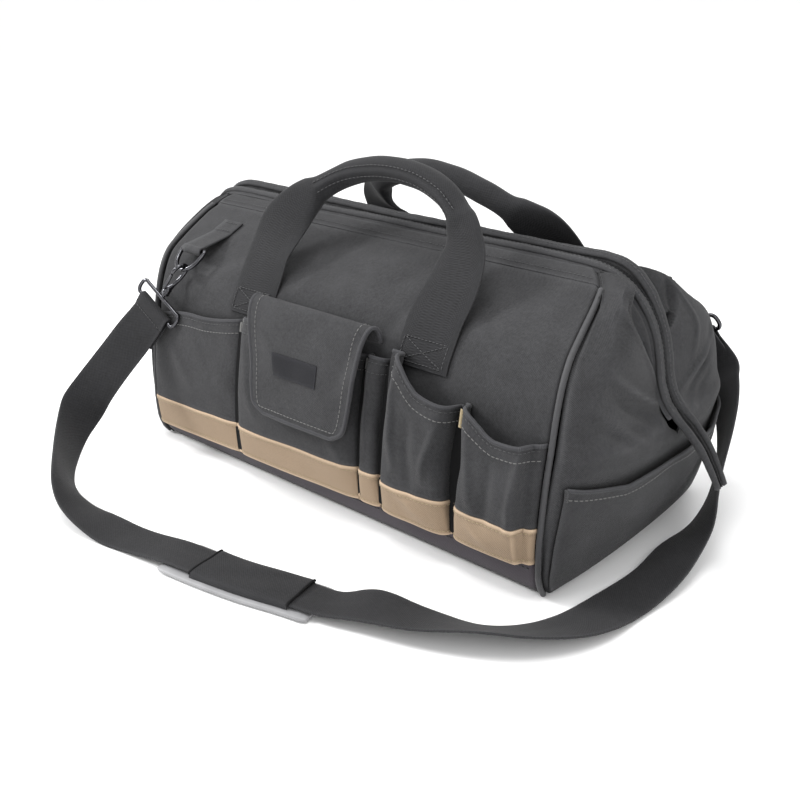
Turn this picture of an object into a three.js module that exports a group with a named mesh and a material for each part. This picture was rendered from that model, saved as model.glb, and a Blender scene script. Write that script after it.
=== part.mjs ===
// Gate-mouth tool tote bag of black canvas, mouth zipped shut, resting on its base.
// Units: millimetres. +X along the bag (its right end is +X), +Y to the back, +Z up.
// Origin: centre of the base, on the surface that the bag rests on.
import * as THREE from 'three';

// ---------------------------------------------------------------- dimensions
const CLOTH = 2.4;          // wall of the bag's body
const POCKET_CLOTH = 1.8;   // wall of the outside pockets
const GAP = 0.4;            // clearance between neighbouring pieces
const PIPING_R = 2.3;
const BASE_WRAP = 24;       // height of the base cloth up the front and back
const TAN_TOP = 54;         // upper edge of the tan band
const RISE = 0.035;         // both edges climb this much for each mm towards the right end
const SEAM_H = 217;         // seam between the face and the top band
const RIM_H = 223;          // top band's edge at the mouth rim
const HANDLE_THICK = 2.0;
const STRAP_W = 40;
const STRAP_T = 2.0;
const STRAP_FLOOR = 1.3;    // lowest edge line of the strap above the floor
const PAD_W = 46, PAD_T = 5;
const RING_WIRE = 2.0, RING_HALF = 15, RING_DROP = 22;
const TAB_W = 25;

// Body sections. h: level name, yf/zf: face line at the piping, ym: y of the end's edge beside the zip,
// xr/er/br: right piping's x, x of the end's middle and how far it puffs out between the two,
// xl/el/bl: the same at the left end (as positive lengths), ze: z of the end's middle,
// lr/ll: how far the puff lifts at the right and the left, p/pl: roundness of the right and the left end.
const LEVELS = [
  { h: 0, yf: 112, zf: 0, ym: 0, xr: 224, er: 229, br: 0, xl: 224, el: 229, bl: 0, ze: 0, lr: 0, ll: 0, pl: 2, p: 2 },
  { h: 10, yf: 119.5, zf: 10, ym: 0, xr: 225, er: 236, br: 0, xl: 225, el: 236, bl: 0, ze: 10, lr: 0, ll: 0, pl: 2, p: 2 },
  { h: 25, yf: 124, zf: 25, ym: 0, xr: 225, er: 243, br: 0, xl: 225, el: 243, bl: 0, ze: 25, lr: 0, ll: 0, pl: 2, p: 2 },
  { h: 45, yf: 125, zf: 45, ym: 0, xr: 225, er: 250, br: 0, xl: 225, el: 250, bl: 0, ze: 45, lr: 0, ll: 0, pl: 2, p: 2 },
  { h: 70, yf: 123.5, zf: 70, ym: 0, xr: 225, er: 256, br: 0, xl: 225, el: 256, bl: 0, ze: 70, lr: 0, ll: 0, pl: 2, p: 2.1 },
  { h: 90, yf: 121.5, zf: 90, ym: 0, xr: 225, er: 259, br: 0, xl: 225, el: 260, bl: 0, ze: 90, lr: 0, ll: 0, pl: 2, p: 2.2 },
  { h: 108, yf: 119, zf: 108, ym: 0, xr: 225, er: 263, br: 0, xl: 225, el: 264, bl: 0, ze: 106, lr: 0, ll: 0, pl: 2, p: 2.3 },
  { h: 116, yf: 117.5, zf: 116, ym: 12.4, xr: 225, er: 260, br: 2, xl: 225, el: 264, bl: 0, ze: 117, lr: 0, ll: 0, pl: 2, p: 2.4 },
  { h: 125, yf: 116, zf: 125, ym: 12.4, xr: 225, er: 252.5, br: 4, xl: 225, el: 264, bl: 0, ze: 127, lr: 0, ll: 0, pl: 1.9, p: 2.6 },
  { h: 145, yf: 112, zf: 145, ym: 12.4, xr: 224.5, er: 246, br: 7, xl: 226, el: 265, bl: 0, ze: 146, lr: 0, ll: 0, pl: 1.8, p: 2.8 },
  { h: 164, yf: 105, zf: 164, ym: 12.4, xr: 223, er: 243, br: 8, xl: 228, el: 265, bl: 0, ze: 164, lr: 0, ll: 0, pl: 1.7, p: 2.6 },
  { h: 181, yf: 92, zf: 181, ym: 12.4, xr: 220, er: 238, br: 11, xl: 232, el: 264, bl: 0, ze: 181, lr: 2, ll: 1, pl: 1.6, p: 2.3 },
  { h: 195, yf: 70, zf: 194, ym: 12.4, xr: 215, er: 230.5, br: 13, xl: 237, el: 262, bl: 2, ze: 195, lr: 6, ll: 4, pl: 1.6, p: 2.1 },
  { h: 208, yf: 43, zf: 208.5, ym: 12.4, xr: 209, er: 218, br: 15, xl: 240, el: 256, bl: 4, ze: 209, lr: 12, ll: 7, pl: 1.7, p: 2 },
  { h: 217, yf: 27, zf: 217.3, ym: 12.4, xr: 204, er: 206, br: 9, xl: 240, el: 246, bl: 3, ze: 218, lr: 8, ll: 6, pl: 2, p: 2 },
  { h: 223, yf: 12.8, zf: 223.6, ym: 12.4, xr: 192, er: 193, br: 2, xl: 236, el: 237, bl: 2, ze: 223.4, lr: 0, ll: 0, pl: 2, p: 2 },
];

// Mouth line on the middle plane from the left tail to the right tail:
// y: offset of each rim from the zip, r: radius of the rim's roll, up: extra height of the rear rim.
const MOUTH = [
  { x: -305.5, z: 73, y: 5, r: 2.4, up: 0 },
  { x: -301, z: 86, y: 5.6, r: 2.7, up: 0 },
  { x: -294.5, z: 99, y: 6.2, r: 3, up: 0 },
  { x: -286, z: 112, y: 7, r: 3.2, up: 0 },
  { x: -277, z: 122.5, y: 7.8, r: 3.4, up: 0 },
  { x: -271, z: 133.5, y: 8.2, r: 3.5, up: 0 },
  { x: -269, z: 147, y: 8.2, r: 3.5, up: 0 },
  { x: -269, z: 163, y: 8.2, r: 3.5, up: 0 },
  { x: -268.5, z: 180, y: 8.2, r: 3.5, up: 0 },
  { x: -266.5, z: 196, y: 8.2, r: 3.5, up: 0 },
  { x: -262, z: 210.5, y: 8.2, r: 3.5, up: 1 },
  { x: -252, z: 221.5, y: 8.2, r: 3.5, up: 3 },
  { x: -236, z: 227, y: 8.2, r: 3.5, up: 4.5 },
  { x: -200, z: 227.8, y: 8.2, r: 3.5, up: 5 },
  { x: -110, z: 226.8, y: 8.2, r: 3.5, up: 4 },
  { x: 0, z: 226.6, y: 8.2, r: 3.5, up: 3 },
  { x: 90, z: 226.6, y: 8.2, r: 3.5, up: 3 },
  { x: 160, z: 226.8, y: 8.2, r: 3.5, up: 3 },
  { x: 190, z: 225.4, y: 8.2, r: 3.5, up: 5.5 },
  { x: 208, z: 219.6, y: 8.2, r: 3.5, up: 8.5 },
  { x: 222, z: 209.4, y: 8.2, r: 3.5, up: 7 },
  { x: 233, z: 196, y: 8.2, r: 3.5, up: 2 },
  { x: 240.5, z: 181.2, y: 8.2, r: 3.5, up: 0 },
  { x: 245, z: 164.5, y: 8.2, r: 3.5, up: 0 },
  { x: 248.5, z: 147, y: 8.2, r: 3.5, up: 0 },
  { x: 255, z: 132.5, y: 8.2, r: 3.5, up: 0 },
  { x: 264, z: 122.5, y: 7.8, r: 3.4, up: 0 },
  { x: 275, z: 113, y: 7, r: 3.2, up: 0 },
  { x: 286, z: 101, y: 6.2, r: 3, up: 0 },
  { x: 295, z: 87, y: 5.6, r: 2.7, up: 0 },
  { x: 302, z: 74, y: 5, r: 2.4, up: 0 },
];

// Front pockets. x0/x1: side seams, bulge: how far the cloth stands off,
// l0/lm/l1: lip height at the left side, the middle and the right side,
// q: steepness of the sides, lift: extra stand-off of the lip's left corner,
// fold: share of the width where a side gusset folds back, 2 for none.
const POCKETS = [
  { name: 'pocket_a', tan: 'tan_band_a', x0: -221.5, x1: -100.5, bulge: 5.5, l0: 125, lm: 136, l1: 144, q: 6, lift: 0, fold: 2 },
  { name: 'pocket_b', tan: 'tan_band_b', x0: -98.5, x1: 50, bulge: 12, l0: 147, lm: 150, l1: 147, q: 8, lift: 0, fold: 2 },
  { name: 'pen_sleeve', tan: 'tan_band_sleeve', x0: 51.2, x1: 73, bulge: 9, l0: 149, lm: 149, l1: 149, q: 3, lift: 0, fold: 2 },
  { name: 'pocket_c', tan: 'tan_band_c', x0: 75, x1: 147, bulge: 18, l0: 160, lm: 136, l1: 140, q: 6, lift: 4.5, fold: 2 },
  { name: 'pocket_d', tan: 'tan_band_d', x0: 149, x1: 221.5, bulge: 17, l0: 139, lm: 121, l1: 131, q: 6, lift: 0, fold: 0.7 },
];

// Flap of the second pocket, from its sewn edge over the fold to its free hem.
const FLAP = [
  { h: 168, d: 2.2, x0: -66, x1: 70 },
  { h: 174, d: 8, x0: -71, x1: 71 },
  { h: 177, d: 13, x0: -75, x1: 69 },
  { h: 174, d: 18, x0: -76, x1: 67 },
  { h: 163, d: 20.5, x0: -74, x1: 64 },
  { h: 145, d: 20.5, x0: -70, x1: 61 },
  { h: 120, d: 20.5, x0: -65, x1: 57 },
  { h: 96, d: 21, x0: -61, x1: 52 },
  { h: 86, d: 21.5, x0: -57, x1: 48 },
  { h: 80, d: 22, x0: -45, x1: 38 },
];

// Handles from the left end to the right end. Rows with h are sewn to the face at that level;
// w/t: half width and half thickness of the section, n: squareness, ax/az: lie of the width.
const HANDLE_FRONT = [
  { x: -95, h: 150, w: 25.5, t: 1, n: 6, ax: 1, az: 0 },
  { x: -95, h: 160, w: 25.5, t: 1, n: 6, ax: 1, az: 0 },
  { x: -95, h: 171, w: 25.5, t: 1, n: 6, ax: 1, az: 0 },
  { x: -94, y: -94, z: 187, w: 25.5, t: 1, n: 6, ax: 1, az: 0.05 },
  { x: -92, y: -85, z: 206, w: 25.5, t: 1.1, n: 6, ax: 1, az: 0.1 },
  { x: -86, y: -73, z: 228, w: 24, t: 1.8, n: 5, ax: 0.95, az: -0.3 },
  { x: -77, y: -59, z: 245, w: 18, t: 5, n: 3, ax: 0.8, az: -0.6 },
  { x: -62, y: -48, z: 258, w: 12.5, t: 11, n: 2, ax: 0.7, az: -0.7 },
  { x: -35, y: -39, z: 272, w: 12, t: 12, n: 2, ax: 0.5, az: -0.85 },
  { x: 0, y: -37, z: 279, w: 12, t: 12, n: 2, ax: 0, az: -1 },
  { x: 36, y: -38, z: 278, w: 12, t: 12, n: 2, ax: -0.2, az: -0.98 },
  { x: 64, y: -41, z: 270, w: 12, t: 12, n: 2, ax: -0.5, az: -0.86 },
  { x: 82, y: -46, z: 258, w: 12.5, t: 11, n: 2, ax: -0.7, az: -0.7 },
  { x: 95, y: -54, z: 243, w: 18, t: 5, n: 3, ax: -0.8, az: -0.6 },
  { x: 101, y: -64, z: 226, w: 24, t: 1.8, n: 5, ax: -0.95, az: -0.3 },
  { x: 103, y: -79, z: 206, w: 25.5, t: 1.1, n: 6, ax: -1, az: -0.1 },
  { x: 101, y: -93, z: 187, w: 25.5, t: 1, n: 6, ax: -1, az: 0 },
  { x: 101, h: 171, w: 25.5, t: 1, n: 6, ax: -1, az: 0 },
  { x: 101, h: 160, w: 25.5, t: 1, n: 6, ax: -1, az: 0 },
  { x: 101, h: 150, w: 25.5, t: 1, n: 6, ax: -1, az: 0 },
];
const HANDLE_REAR = [
  { x: -95, h: 150, w: 25.5, t: 1, n: 6, ax: 1, az: 0 },
  { x: -95, h: 160, w: 25.5, t: 1, n: 6, ax: 1, az: 0 },
  { x: -95, h: 172, w: 25.5, t: 1, n: 6, ax: 1, az: 0 },
  { x: -95, y: -89, z: 190, w: 25.5, t: 1, n: 6, ax: 1, az: 0 },
  { x: -95, y: -77, z: 207, w: 25.5, t: 1.1, n: 6, ax: 1, az: 0.1 },
  { x: -94, y: -63, z: 223, w: 24, t: 1.8, n: 5, ax: 0.95, az: -0.2 },
  { x: -87, y: -51, z: 238, w: 18, t: 5, n: 3, ax: 0.8, az: -0.6 },
  { x: -73, y: -42, z: 250, w: 12.5, t: 11, n: 2, ax: 0.7, az: -0.7 },
  { x: -48, y: -36, z: 260, w: 12, t: 12, n: 2, ax: 0.5, az: -0.85 },
  { x: -16, y: -33, z: 266, w: 12, t: 12, n: 2, ax: 0, az: -1 },
  { x: 18, y: -33, z: 263.5, w: 12, t: 12, n: 2, ax: -0.2, az: -0.98 },
  { x: 46, y: -34, z: 256, w: 12, t: 12, n: 2, ax: -0.5, az: -0.86 },
  { x: 70, y: -37, z: 246, w: 12.5, t: 11, n: 2, ax: -0.7, az: -0.7 },
  { x: 88, y: -42, z: 236, w: 18, t: 5, n: 3, ax: -0.75, az: -0.65 },
  { x: 101, y: -50, z: 226, w: 24, t: 1.8, n: 5, ax: -0.85, az: -0.4 },
  { x: 107, y: -64, z: 213, w: 25.5, t: 1.1, n: 6, ax: -1, az: -0.1 },
  { x: 107, y: -84, z: 193, w: 25.5, t: 1, n: 6, ax: -1, az: 0 },
  { x: 107, h: 172, w: 25.5, t: 1, n: 6, ax: -1, az: 0 },
  { x: 107, h: 160, w: 25.5, t: 1, n: 6, ax: -1, az: 0 },
  { x: 107, h: 150, w: 25.5, t: 1, n: 6, ax: -1, az: 0 },
];

// Snap hook at the front left. The hook's axis points from the strap to the ring.
const RING_LOW = { x: -184, y: -114, z: 176 };     // wire that the hook holds
const HOOK_AXIS = { x: 0.51, y: 0.31, z: 0.8 };
const LOOP_BAR = { x: 0.84, y: 0.02, z: -0.54 };
const HOOK = { wireAt: 3.3, bowl: 7.8, spine: 1.8, collar: 4.2, pivot: -19, barTop: -32.5, barLow: -46, loopHalf: 24, loopWire: 1.8 };

// Shoulder strap between the two hooks: centre of the webbing and its outward across direction.
const STRAP = [
  { x: -224, y: -146, z: 110, ax: -0.82, ay: -0.16, az: 0.54 },
  { x: -237, y: -174, z: 76, ax: -0.8, ay: -0.2, az: 0.56 },
  { x: -243, y: -196, z: 50, ax: -0.55, ay: -0.2, az: 0.8 },
  { x: -228, y: -222, z: 34, ax: -0.2, ay: -0.35, az: 0.9 },
  { x: -190, y: -255, z: 21.5, ax: 0.15, ay: -0.5, az: 0.83 },
  { x: -142, y: -273, z: 11, ax: 0.17, ay: -0.88, az: 0.44 },
  { x: -98, y: -271, z: 3, ax: 0.1, ay: -0.99, az: 0.05 },
  { x: -62, y: -266, z: 3.5, ax: 0.14, ay: -0.99, az: 0.03 },
  { x: -24, y: -261, z: 8.6, ax: 0.18, ay: -0.98, az: 0.03 },
  { x: 10, y: -256, z: 9.4, ax: 0.21, ay: -0.97, az: 0.07 },
  { x: 50, y: -249, z: 9.4, ax: 0.23, ay: -0.97, az: 0.07 },
  { x: 89, y: -239, z: 9.4, ax: 0.25, ay: -0.96, az: 0.07 },
  { x: 120, y: -231, z: 8.8, ax: 0.29, ay: -0.94, az: 0.1 },
  { x: 147, y: -220, z: 12, ax: 0.42, ay: -0.91, az: 0 },
  { x: 182, y: -209, z: 11.5, ax: 0.54, ay: -0.82, az: 0.2 },
  { x: 220, y: -192, z: 11.5, ax: 0.6, ay: -0.66, az: 0.45 },
  { x: 249, y: -167, z: 9.6, ax: 0.78, ay: -0.51, az: 0.36 },
  { x: 268, y: -131, z: 6, ax: 0.91, ay: -0.37, az: 0.18 },
  { x: 274, y: -88, z: 2.6, ax: 0.99, ay: -0.14, az: 0.06 },
  { x: 279, y: -42, z: 6, ax: 0.98, ay: 0.04, az: 0.21 },
  { x: 277, y: -2, z: 12, ax: 0.94, ay: -0.1, az: 0.32 },
  { x: 274.5, y: 41, z: 22, ax: 0.62, ay: -0.5, az: 0.6 },
  { x: 267.5, y: 77, z: 44.5, ax: 0.38, ay: -0.48, az: 0.79 },
  { x: 254, y: 112, z: 82, ax: 0.5, ay: -0.35, az: 0.79 },
  { x: 234, y: 133, z: 112, ax: 0.75, ay: -0.1, az: 0.65 },
];
const STRAP_TAIL = 34;      // sewn-back end of the strap behind each loop bar
const PAD_FROM = -24, PAD_TO = 112, SLEEVE_FROM = 8, SLEEVE_TO = 94;

// ------------------------------------------------------------------ helpers
const V = (x, y, z) => new THREE.Vector3(x, y, z);
const vec = (o) => V(o.x, o.y, o.z);

// Smooth value of a table's column at a key, with a cubic through the rows.
function at(rows, key, k, col) {
  const n = rows.length - 1;
  let i = 0;
  while (i < n - 1 && k > rows[i + 1][key]) i++;
  const a = rows[i], b = rows[i + 1], w = b[key] - a[key];
  const u = Math.min(Math.max((k - a[key]) / w, 0), 1);
  const slope = (j) => {
    if (j === 0) return (rows[1][col] - rows[0][col]) / (rows[1][key] - rows[0][key]);
    if (j === n) return (rows[n][col] - rows[n - 1][col]) / (rows[n][key] - rows[n - 1][key]);
    const l = (rows[j][col] - rows[j - 1][col]) / (rows[j][key] - rows[j - 1][key]);
    const r = (rows[j + 1][col] - rows[j][col]) / (rows[j + 1][key] - rows[j][key]);
    return l * r <= 0 ? 0 : (2 * l * r) / (l + r);
  };
  const m0 = slope(i) * w, m1 = slope(i + 1) * w;
  return (2 * u ** 3 - 3 * u ** 2 + 1) * a[col] + (u ** 3 - 2 * u ** 2 + u) * m0
    + (3 * u ** 2 - 2 * u ** 3) * b[col] + (u ** 3 - u ** 2) * m1;
}

// Catmull-Rom value of a table's column at a row position such as 2.5.
function along(rows, t, col) {
  const n = rows.length - 1;
  const i = Math.min(Math.floor(t), n - 1), u = t - i;
  const p1 = rows[i][col], p2 = rows[i + 1][col];
  const m1 = i > 0 ? (p2 - rows[i - 1][col]) / 2 : p2 - p1;
  const m2 = i < n - 1 ? (rows[i + 2][col] - p1) / 2 : p2 - p1;
  return (2 * u ** 3 - 3 * u ** 2 + 1) * p1 + (u ** 3 - 2 * u ** 2 + u) * m1
    + (3 * u ** 2 - 2 * u ** 3) * p2 + (u ** 3 - u ** 2) * m2;
}

function geometry(points, tris) {
  const g = new THREE.BufferGeometry();
  const flat = new Float32Array(points.length * 3);
  points.forEach((p, i) => p.toArray(flat, 3 * i));
  g.setAttribute('position', new THREE.BufferAttribute(flat, 3));
  g.setIndex(tris.flat());
  g.computeVertexNormals();
  return g;
}

// Closed solid from an open sheet: its outer skin at `out`, its inner skin at `inn`
// (distances along the sheet's normals), and walls along every free edge.
function thicken(points, tris, out, inn) {
  const n = points.map(() => V(0, 0, 0));
  for (const [a, b, c] of tris) {
    const f = points[b].clone().sub(points[a]).cross(points[c].clone().sub(points[a]));
    n[a].add(f); n[b].add(f); n[c].add(f);
  }
  n.forEach((v) => v.normalize());
  const N = points.length;
  const all = points.map((p, i) => p.clone().addScaledVector(n[i], out))
    .concat(points.map((p, i) => p.clone().addScaledVector(n[i], inn)));
  const faces = [];
  const edges = new Map();
  for (const [a, b, c] of tris) {
    faces.push([a, b, c], [a + N, c + N, b + N]);
    for (const [p, q] of [[a, b], [b, c], [c, a]]) edges.set(`${p},${q}`, [p, q]);
  }
  for (const [p, q] of edges.values()) {
    if (edges.has(`${q},${p}`)) continue;
    faces.push([p, p + N, q], [q, p + N, q + N]);
  }
  return geometry(all, faces);
}

// Sheet over a grid of parameters, point(u, v); columns run so that normals face out.
function grid(us, vs, point, flip) {
  const points = [], tris = [];
  for (const v of vs) for (const u of us) points.push(point(u, v));
  const w = us.length;
  for (let j = 0; j < vs.length - 1; j++) {
    for (let i = 0; i < w - 1; i++) {
      const a = j * w + i, b = a + 1, c = a + w, d = c + 1;
      if (flip) tris.push([a, c, b], [b, c, d]);
      else tris.push([a, b, c], [b, d, c]);
    }
  }
  return { points, tris };
}

// Solid through rings of points, capped at both ends or joined into a closed loop.
function loft(rings, closed = false) {
  const m = rings[0].length, n = rings.length;
  const points = rings.flat(), tris = [];
  const last = closed ? n : n - 1;
  for (let j = 0; j < last; j++) {
    const k = (j + 1) % n;
    for (let i = 0; i < m; i++) {
      const i2 = (i + 1) % m;
      const a = j * m + i, b = j * m + i2, c = k * m + i, d = k * m + i2;
      tris.push([a, b, c], [b, d, c]);
    }
  }
  if (!closed) {
    for (let i = 1; i < m - 1; i++) {
      tris.push([0, i + 1, i]);
      tris.push([(n - 1) * m, (n - 1) * m + i, (n - 1) * m + i + 1]);
    }
  }
  // turn the faces outward if the rings run the other way
  let vol = 0;
  for (const [a, b, c] of tris) vol += points[a].dot(points[b].clone().cross(points[c]));
  if (vol < 0) tris.forEach((t) => { const s = t[1]; t[1] = t[2]; t[2] = s; });
  return geometry(points, tris);
}

// Round section about a centre, in the plane of two unit directions.
function ringOf(c, e1, e2, r1, r2, sides, n = 2, turn = 0) {
  const out = [];
  for (let i = 0; i < sides; i++) {
    const a = turn + (i / sides) * Math.PI * 2;
    const ca = Math.cos(a), sa = Math.sin(a);
    const k1 = Math.sign(ca) * Math.abs(ca) ** (2 / n), k2 = Math.sign(sa) * Math.abs(sa) ** (2 / n);
    out.push(c.clone().addScaledVector(e1, r1 * k1).addScaledVector(e2, r2 * k2));
  }
  return out;
}

// Rings along a path of rows {p, r}, each square to the path.
function tube(path, sides, closed = false) {
  const n = path.length, rings = [];
  let side = null;
  for (let i = 0; i < n; i++) {
    const a = path[closed ? (i + n - 1) % n : Math.max(i - 1, 0)].p;
    const b = path[closed ? (i + 1) % n : Math.min(i + 1, n - 1)].p;
    const d = b.clone().sub(a).normalize();
    if (!side) side = Math.abs(d.z) > 0.9 ? V(1, 0, 0) : V(0, 0, 1);
    side = side.clone().addScaledVector(d, -side.dot(d)).normalize();
    rings.push(ringOf(path[i].p, side, d.clone().cross(side), path[i].r, path[i].r, sides));
  }
  return loft(rings, closed);
}

const tote = new THREE.Group();
const CANVAS = { color: 0x3f3f41, roughness: 0.92, metalness: 0 };
const WEBBING = { color: 0x38383a, roughness: 0.88, metalness: 0 };
const TAN = { color: 0xb79c7d, roughness: 0.85, metalness: 0 };
const BASE_CLOTH = { color: 0x39353b, roughness: 0.75, metalness: 0 };
const PIPE = { color: 0x2f2f31, roughness: 0.6, metalness: 0 };
const METAL = { color: 0x3a3a3e, roughness: 0.25, metalness: 1 };
const RUBBER = { color: 0x5b5b5e, roughness: 0.45, metalness: 0 };
function add(name, geo, look) {
  const mesh = new THREE.Mesh(geo, new THREE.MeshStandardMaterial(look));
  mesh.name = name;
  tote.add(mesh);
  return mesh;
}

// ------------------------------------------------------- surfaces of the body
const level = (h, col) => at(LEVELS, 'h', h, col);
// Half length of the face at a level, to the piping of the end that u points to.
const reach = (u, h) => level(h, u < 0 ? 'xl' : 'xr');
// Point of the front (side -1) or back (side 1) face at a share u of its half length.
function face(side, u, h) {
  return V(reach(u, h) * u, side * level(h, 'yf'), level(h, 'zf'));
}
// Outward direction of the face at a level.
function faceOut(side, h) {
  const y = level(h + 1.5, 'yf') - level(h - 1.5, 'yf'), z = level(h + 1.5, 'zf') - level(h - 1.5, 'zf');
  return V(0, side * z, -y).normalize();
}
// Point off the front or back face, by its x, level and distance.
function off(side, x, h, d) {
  return V(x, side * level(h, 'yf'), level(h, 'zf')).addScaledVector(faceOut(side, Math.max(h, 3)), d);
}
// Point of an end: s = 0 at the piping, 1 at the middle.
function end(sx, sy, s, h) {
  const e = sx < 0 ? 'l' : 'r';
  const p = level(h, sx < 0 ? 'pl' : 'p'), xp = level(h, 'x' + e), xe = level(h, 'e' + e);
  const bow = (1 - (1 - s) ** p) ** (1 / p);
  const yf = level(h, 'yf'), ym = h <= 108 ? 0 : Math.min(level(h, 'ym'), 12.4);
  const puff = Math.sin(Math.PI * Math.min(s, 1) ** 0.85);
  const z = level(h, 'zf') + (level(h, 'ze') - level(h, 'zf')) * s + puff * level(h, 'l' + e);
  return V(sx * (xp + (xe - xp) * bow + puff * level(h, 'b' + e)), sy * (yf + (ym - yf) * s), z);
}
const endStart = (h) => 0.02 + (h > 195 ? ((h - 195) / 28) * 0.3 : 0);

const FACE_H = [BASE_WRAP + 1.2, 45, 70, 90, 108, 125, 145, 155, 164, 173, 181, 188, 195, 206, SEAM_H - GAP];
const FACE_U = [-1, -0.75, -0.5, -0.25, 0, 0.25, 0.5, 0.75, 1];
const inset = (u, h, m) => u * (1 - m / reach(u, h));

for (const [side, where] of [[-1, 'front'], [1, 'back']]) {
  const panel = grid(FACE_U, FACE_H, (u, h) => face(side, inset(u, h, PIPING_R + 0.7), h < 30 ? h + RISE * 225 * u : h), side > 0);
  add(`${where}_panel`, thicken(panel.points, panel.tris, 0, -CLOTH), CANVAS);
  const band = grid(FACE_U, [SEAM_H + GAP, 220, RIM_H],
    (u, h) => face(side, inset(u, h, 0.8), h), side > 0);
  add(`top_band_${where}`, thicken(band.points, band.tris, 0.4, -CLOTH), CANVAS);
}

// Base: bottom cloth with its front and back edges turned up.
{
  const U = [-1, -0.5, 0, 0.5, 1];
  const girth = [
    { side: -1, h: BASE_WRAP }, { side: -1, h: 16 }, { side: -1, h: 8 }, { side: -1, h: 3 }, { y: -110 }, { y: -96 }, { y: -60 }, { y: -20 },
    { y: 20 }, { y: 60 }, { y: 96 }, { y: 110 }, { side: 1, h: 3 }, { side: 1, h: 8 }, { side: 1, h: 16 }, { side: 1, h: BASE_WRAP },
  ];
  const sheet = grid(U, girth, (u, g) => {
    if (g.side) return face(g.side, inset(u, g.h, PIPING_R + 0.7), g.h < 12 ? g.h : g.h + (RISE * 225 * u * (g.h - 8)) / (BASE_WRAP - 8));
    const s = 1 - Math.abs(g.y) / 112;
    const lip = end(1, 1, Math.max(s, 0), 0).x - CLOTH - 1.6;
    return V(u * Math.min(lip, 225), g.y, 0);
  }, true);
  add('base_panel', thicken(sheet.points, sheet.tris, 0, -CLOTH), BASE_CLOTH);
}

// Ends: one cloth from piping to piping, slit above the beak where the zip runs down.
const END_H = [0, 10, 25, 45, 70, 90, 108, 116, 125, 135, 145, 155, 164, 173, 181, 188, 195, 202, 208, 217, RIM_H];
const END_T = [0, 0.12, 0.26, 0.4, 0.55, 0.7, 0.85, 1];
function endSheet(sx, levels, raise, from) {
  const points = [], tris = [], index = new Map();
  const id = (j, i, sy) => {
    const joined = i === END_T.length - 1 && levels[j] <= 108;
    const key = `${j},${i},${joined ? 0 : sy}`;
    if (!index.has(key)) {
      const h = levels[j], s0 = from ? from : endStart(h);
      const s = s0 + (1 - s0) * END_T[i] ** 2;
      index.set(key, points.length);
      points.push(raise(sy, s, h));
    }
    return index.get(key);
  };
  for (let j = 0; j < levels.length - 1; j++) {
    for (const sy of [-1, 1]) {
      for (let i = 0; i < END_T.length - 1; i++) {
        const a = id(j, i, sy), b = id(j, i + 1, sy), c = id(j + 1, i, sy), d = id(j + 1, i + 1, sy);
        if (sx * sy < 0) tris.push([a, b, c], [b, d, c]);
        else tris.push([a, c, b], [b, c, d]);
      }
    }
  }
  return { points, tris };
}
for (const [sx, where] of [[1, 'right'], [-1, 'left']]) {
  const sheet = endSheet(sx, END_H, (sy, s, h) => end(sx, sy, s, h));
  add(`${where}_end`, thicken(sheet.points, sheet.tris, 0, -CLOTH), CANVAS);
  const top = (s) => 97 - 9 * Math.min(1, 2.2 * s);
  const rows = [0, 0.25, 0.5, 0.75, 1];
  const points = [], tris = [], us = [];
  for (const t of END_T) us.push([-1, 0.05 + 0.95 * t ** 2]);
  for (const t of [...END_T].reverse().slice(1)) us.push([1, 0.05 + 0.95 * t ** 2]);
  for (const r of rows) {
    for (const [sy, s] of us) {
      const h = 8 + (top(s) - 8) * r;
      const p = end(sx, sy, s, h);
      const a = end(sx, sy, Math.min(s + 0.02, 1), h).sub(end(sx, sy, Math.max(s - 0.02, 0.001), h));
      const b = end(sx, sy, s, h + 2).sub(end(sx, sy, s, h - 2));
      const n = a.cross(b).normalize();
      if (n.x * sx < 0) n.negate();
      points.push(p.addScaledVector(n, 2.4 + 5.5 * r * Math.sin(Math.min(s * 1.6, 1) * Math.PI / 2)));
    }
  }
  const w = us.length;
  for (let j = 0; j < rows.length - 1; j++) {
    for (let i = 0; i < w - 1; i++) {
      const a = j * w + i, b = a + 1, c = a + w, d = c + 1;
      if (sx > 0) tris.push([a, b, c], [b, d, c]);
      else tris.push([a, c, b], [b, c, d]);
    }
  }
  add(`${where}_end_pocket`, thicken(points, tris, 0, -POCKET_CLOTH), CANVAS);
}

// Piping along the four upright seams, from the floor to the top band.
for (const [sx, sy, where] of [[1, -1, 'front_right'], [-1, -1, 'front_left'], [1, 1, 'back_right'], [-1, 1, 'back_left']]) {
  const curve = new THREE.CatmullRomCurve3([2.4, 12, 25, 45, 70, 90, 108, 125, 145, 155, 164, 173, 181, 188, 195, 206, 214.5]
    .map((h) => face(sy, sx, h)));
  const dot = new THREE.Shape();
  dot.absarc(0, 0, PIPING_R, 0, Math.PI * 2);
  add(`piping_${where}`, new THREE.ExtrudeGeometry(dot, { steps: 24, curveSegments: 4, bevelEnabled: false, extrudePath: curve }), PIPE);
}

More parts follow.
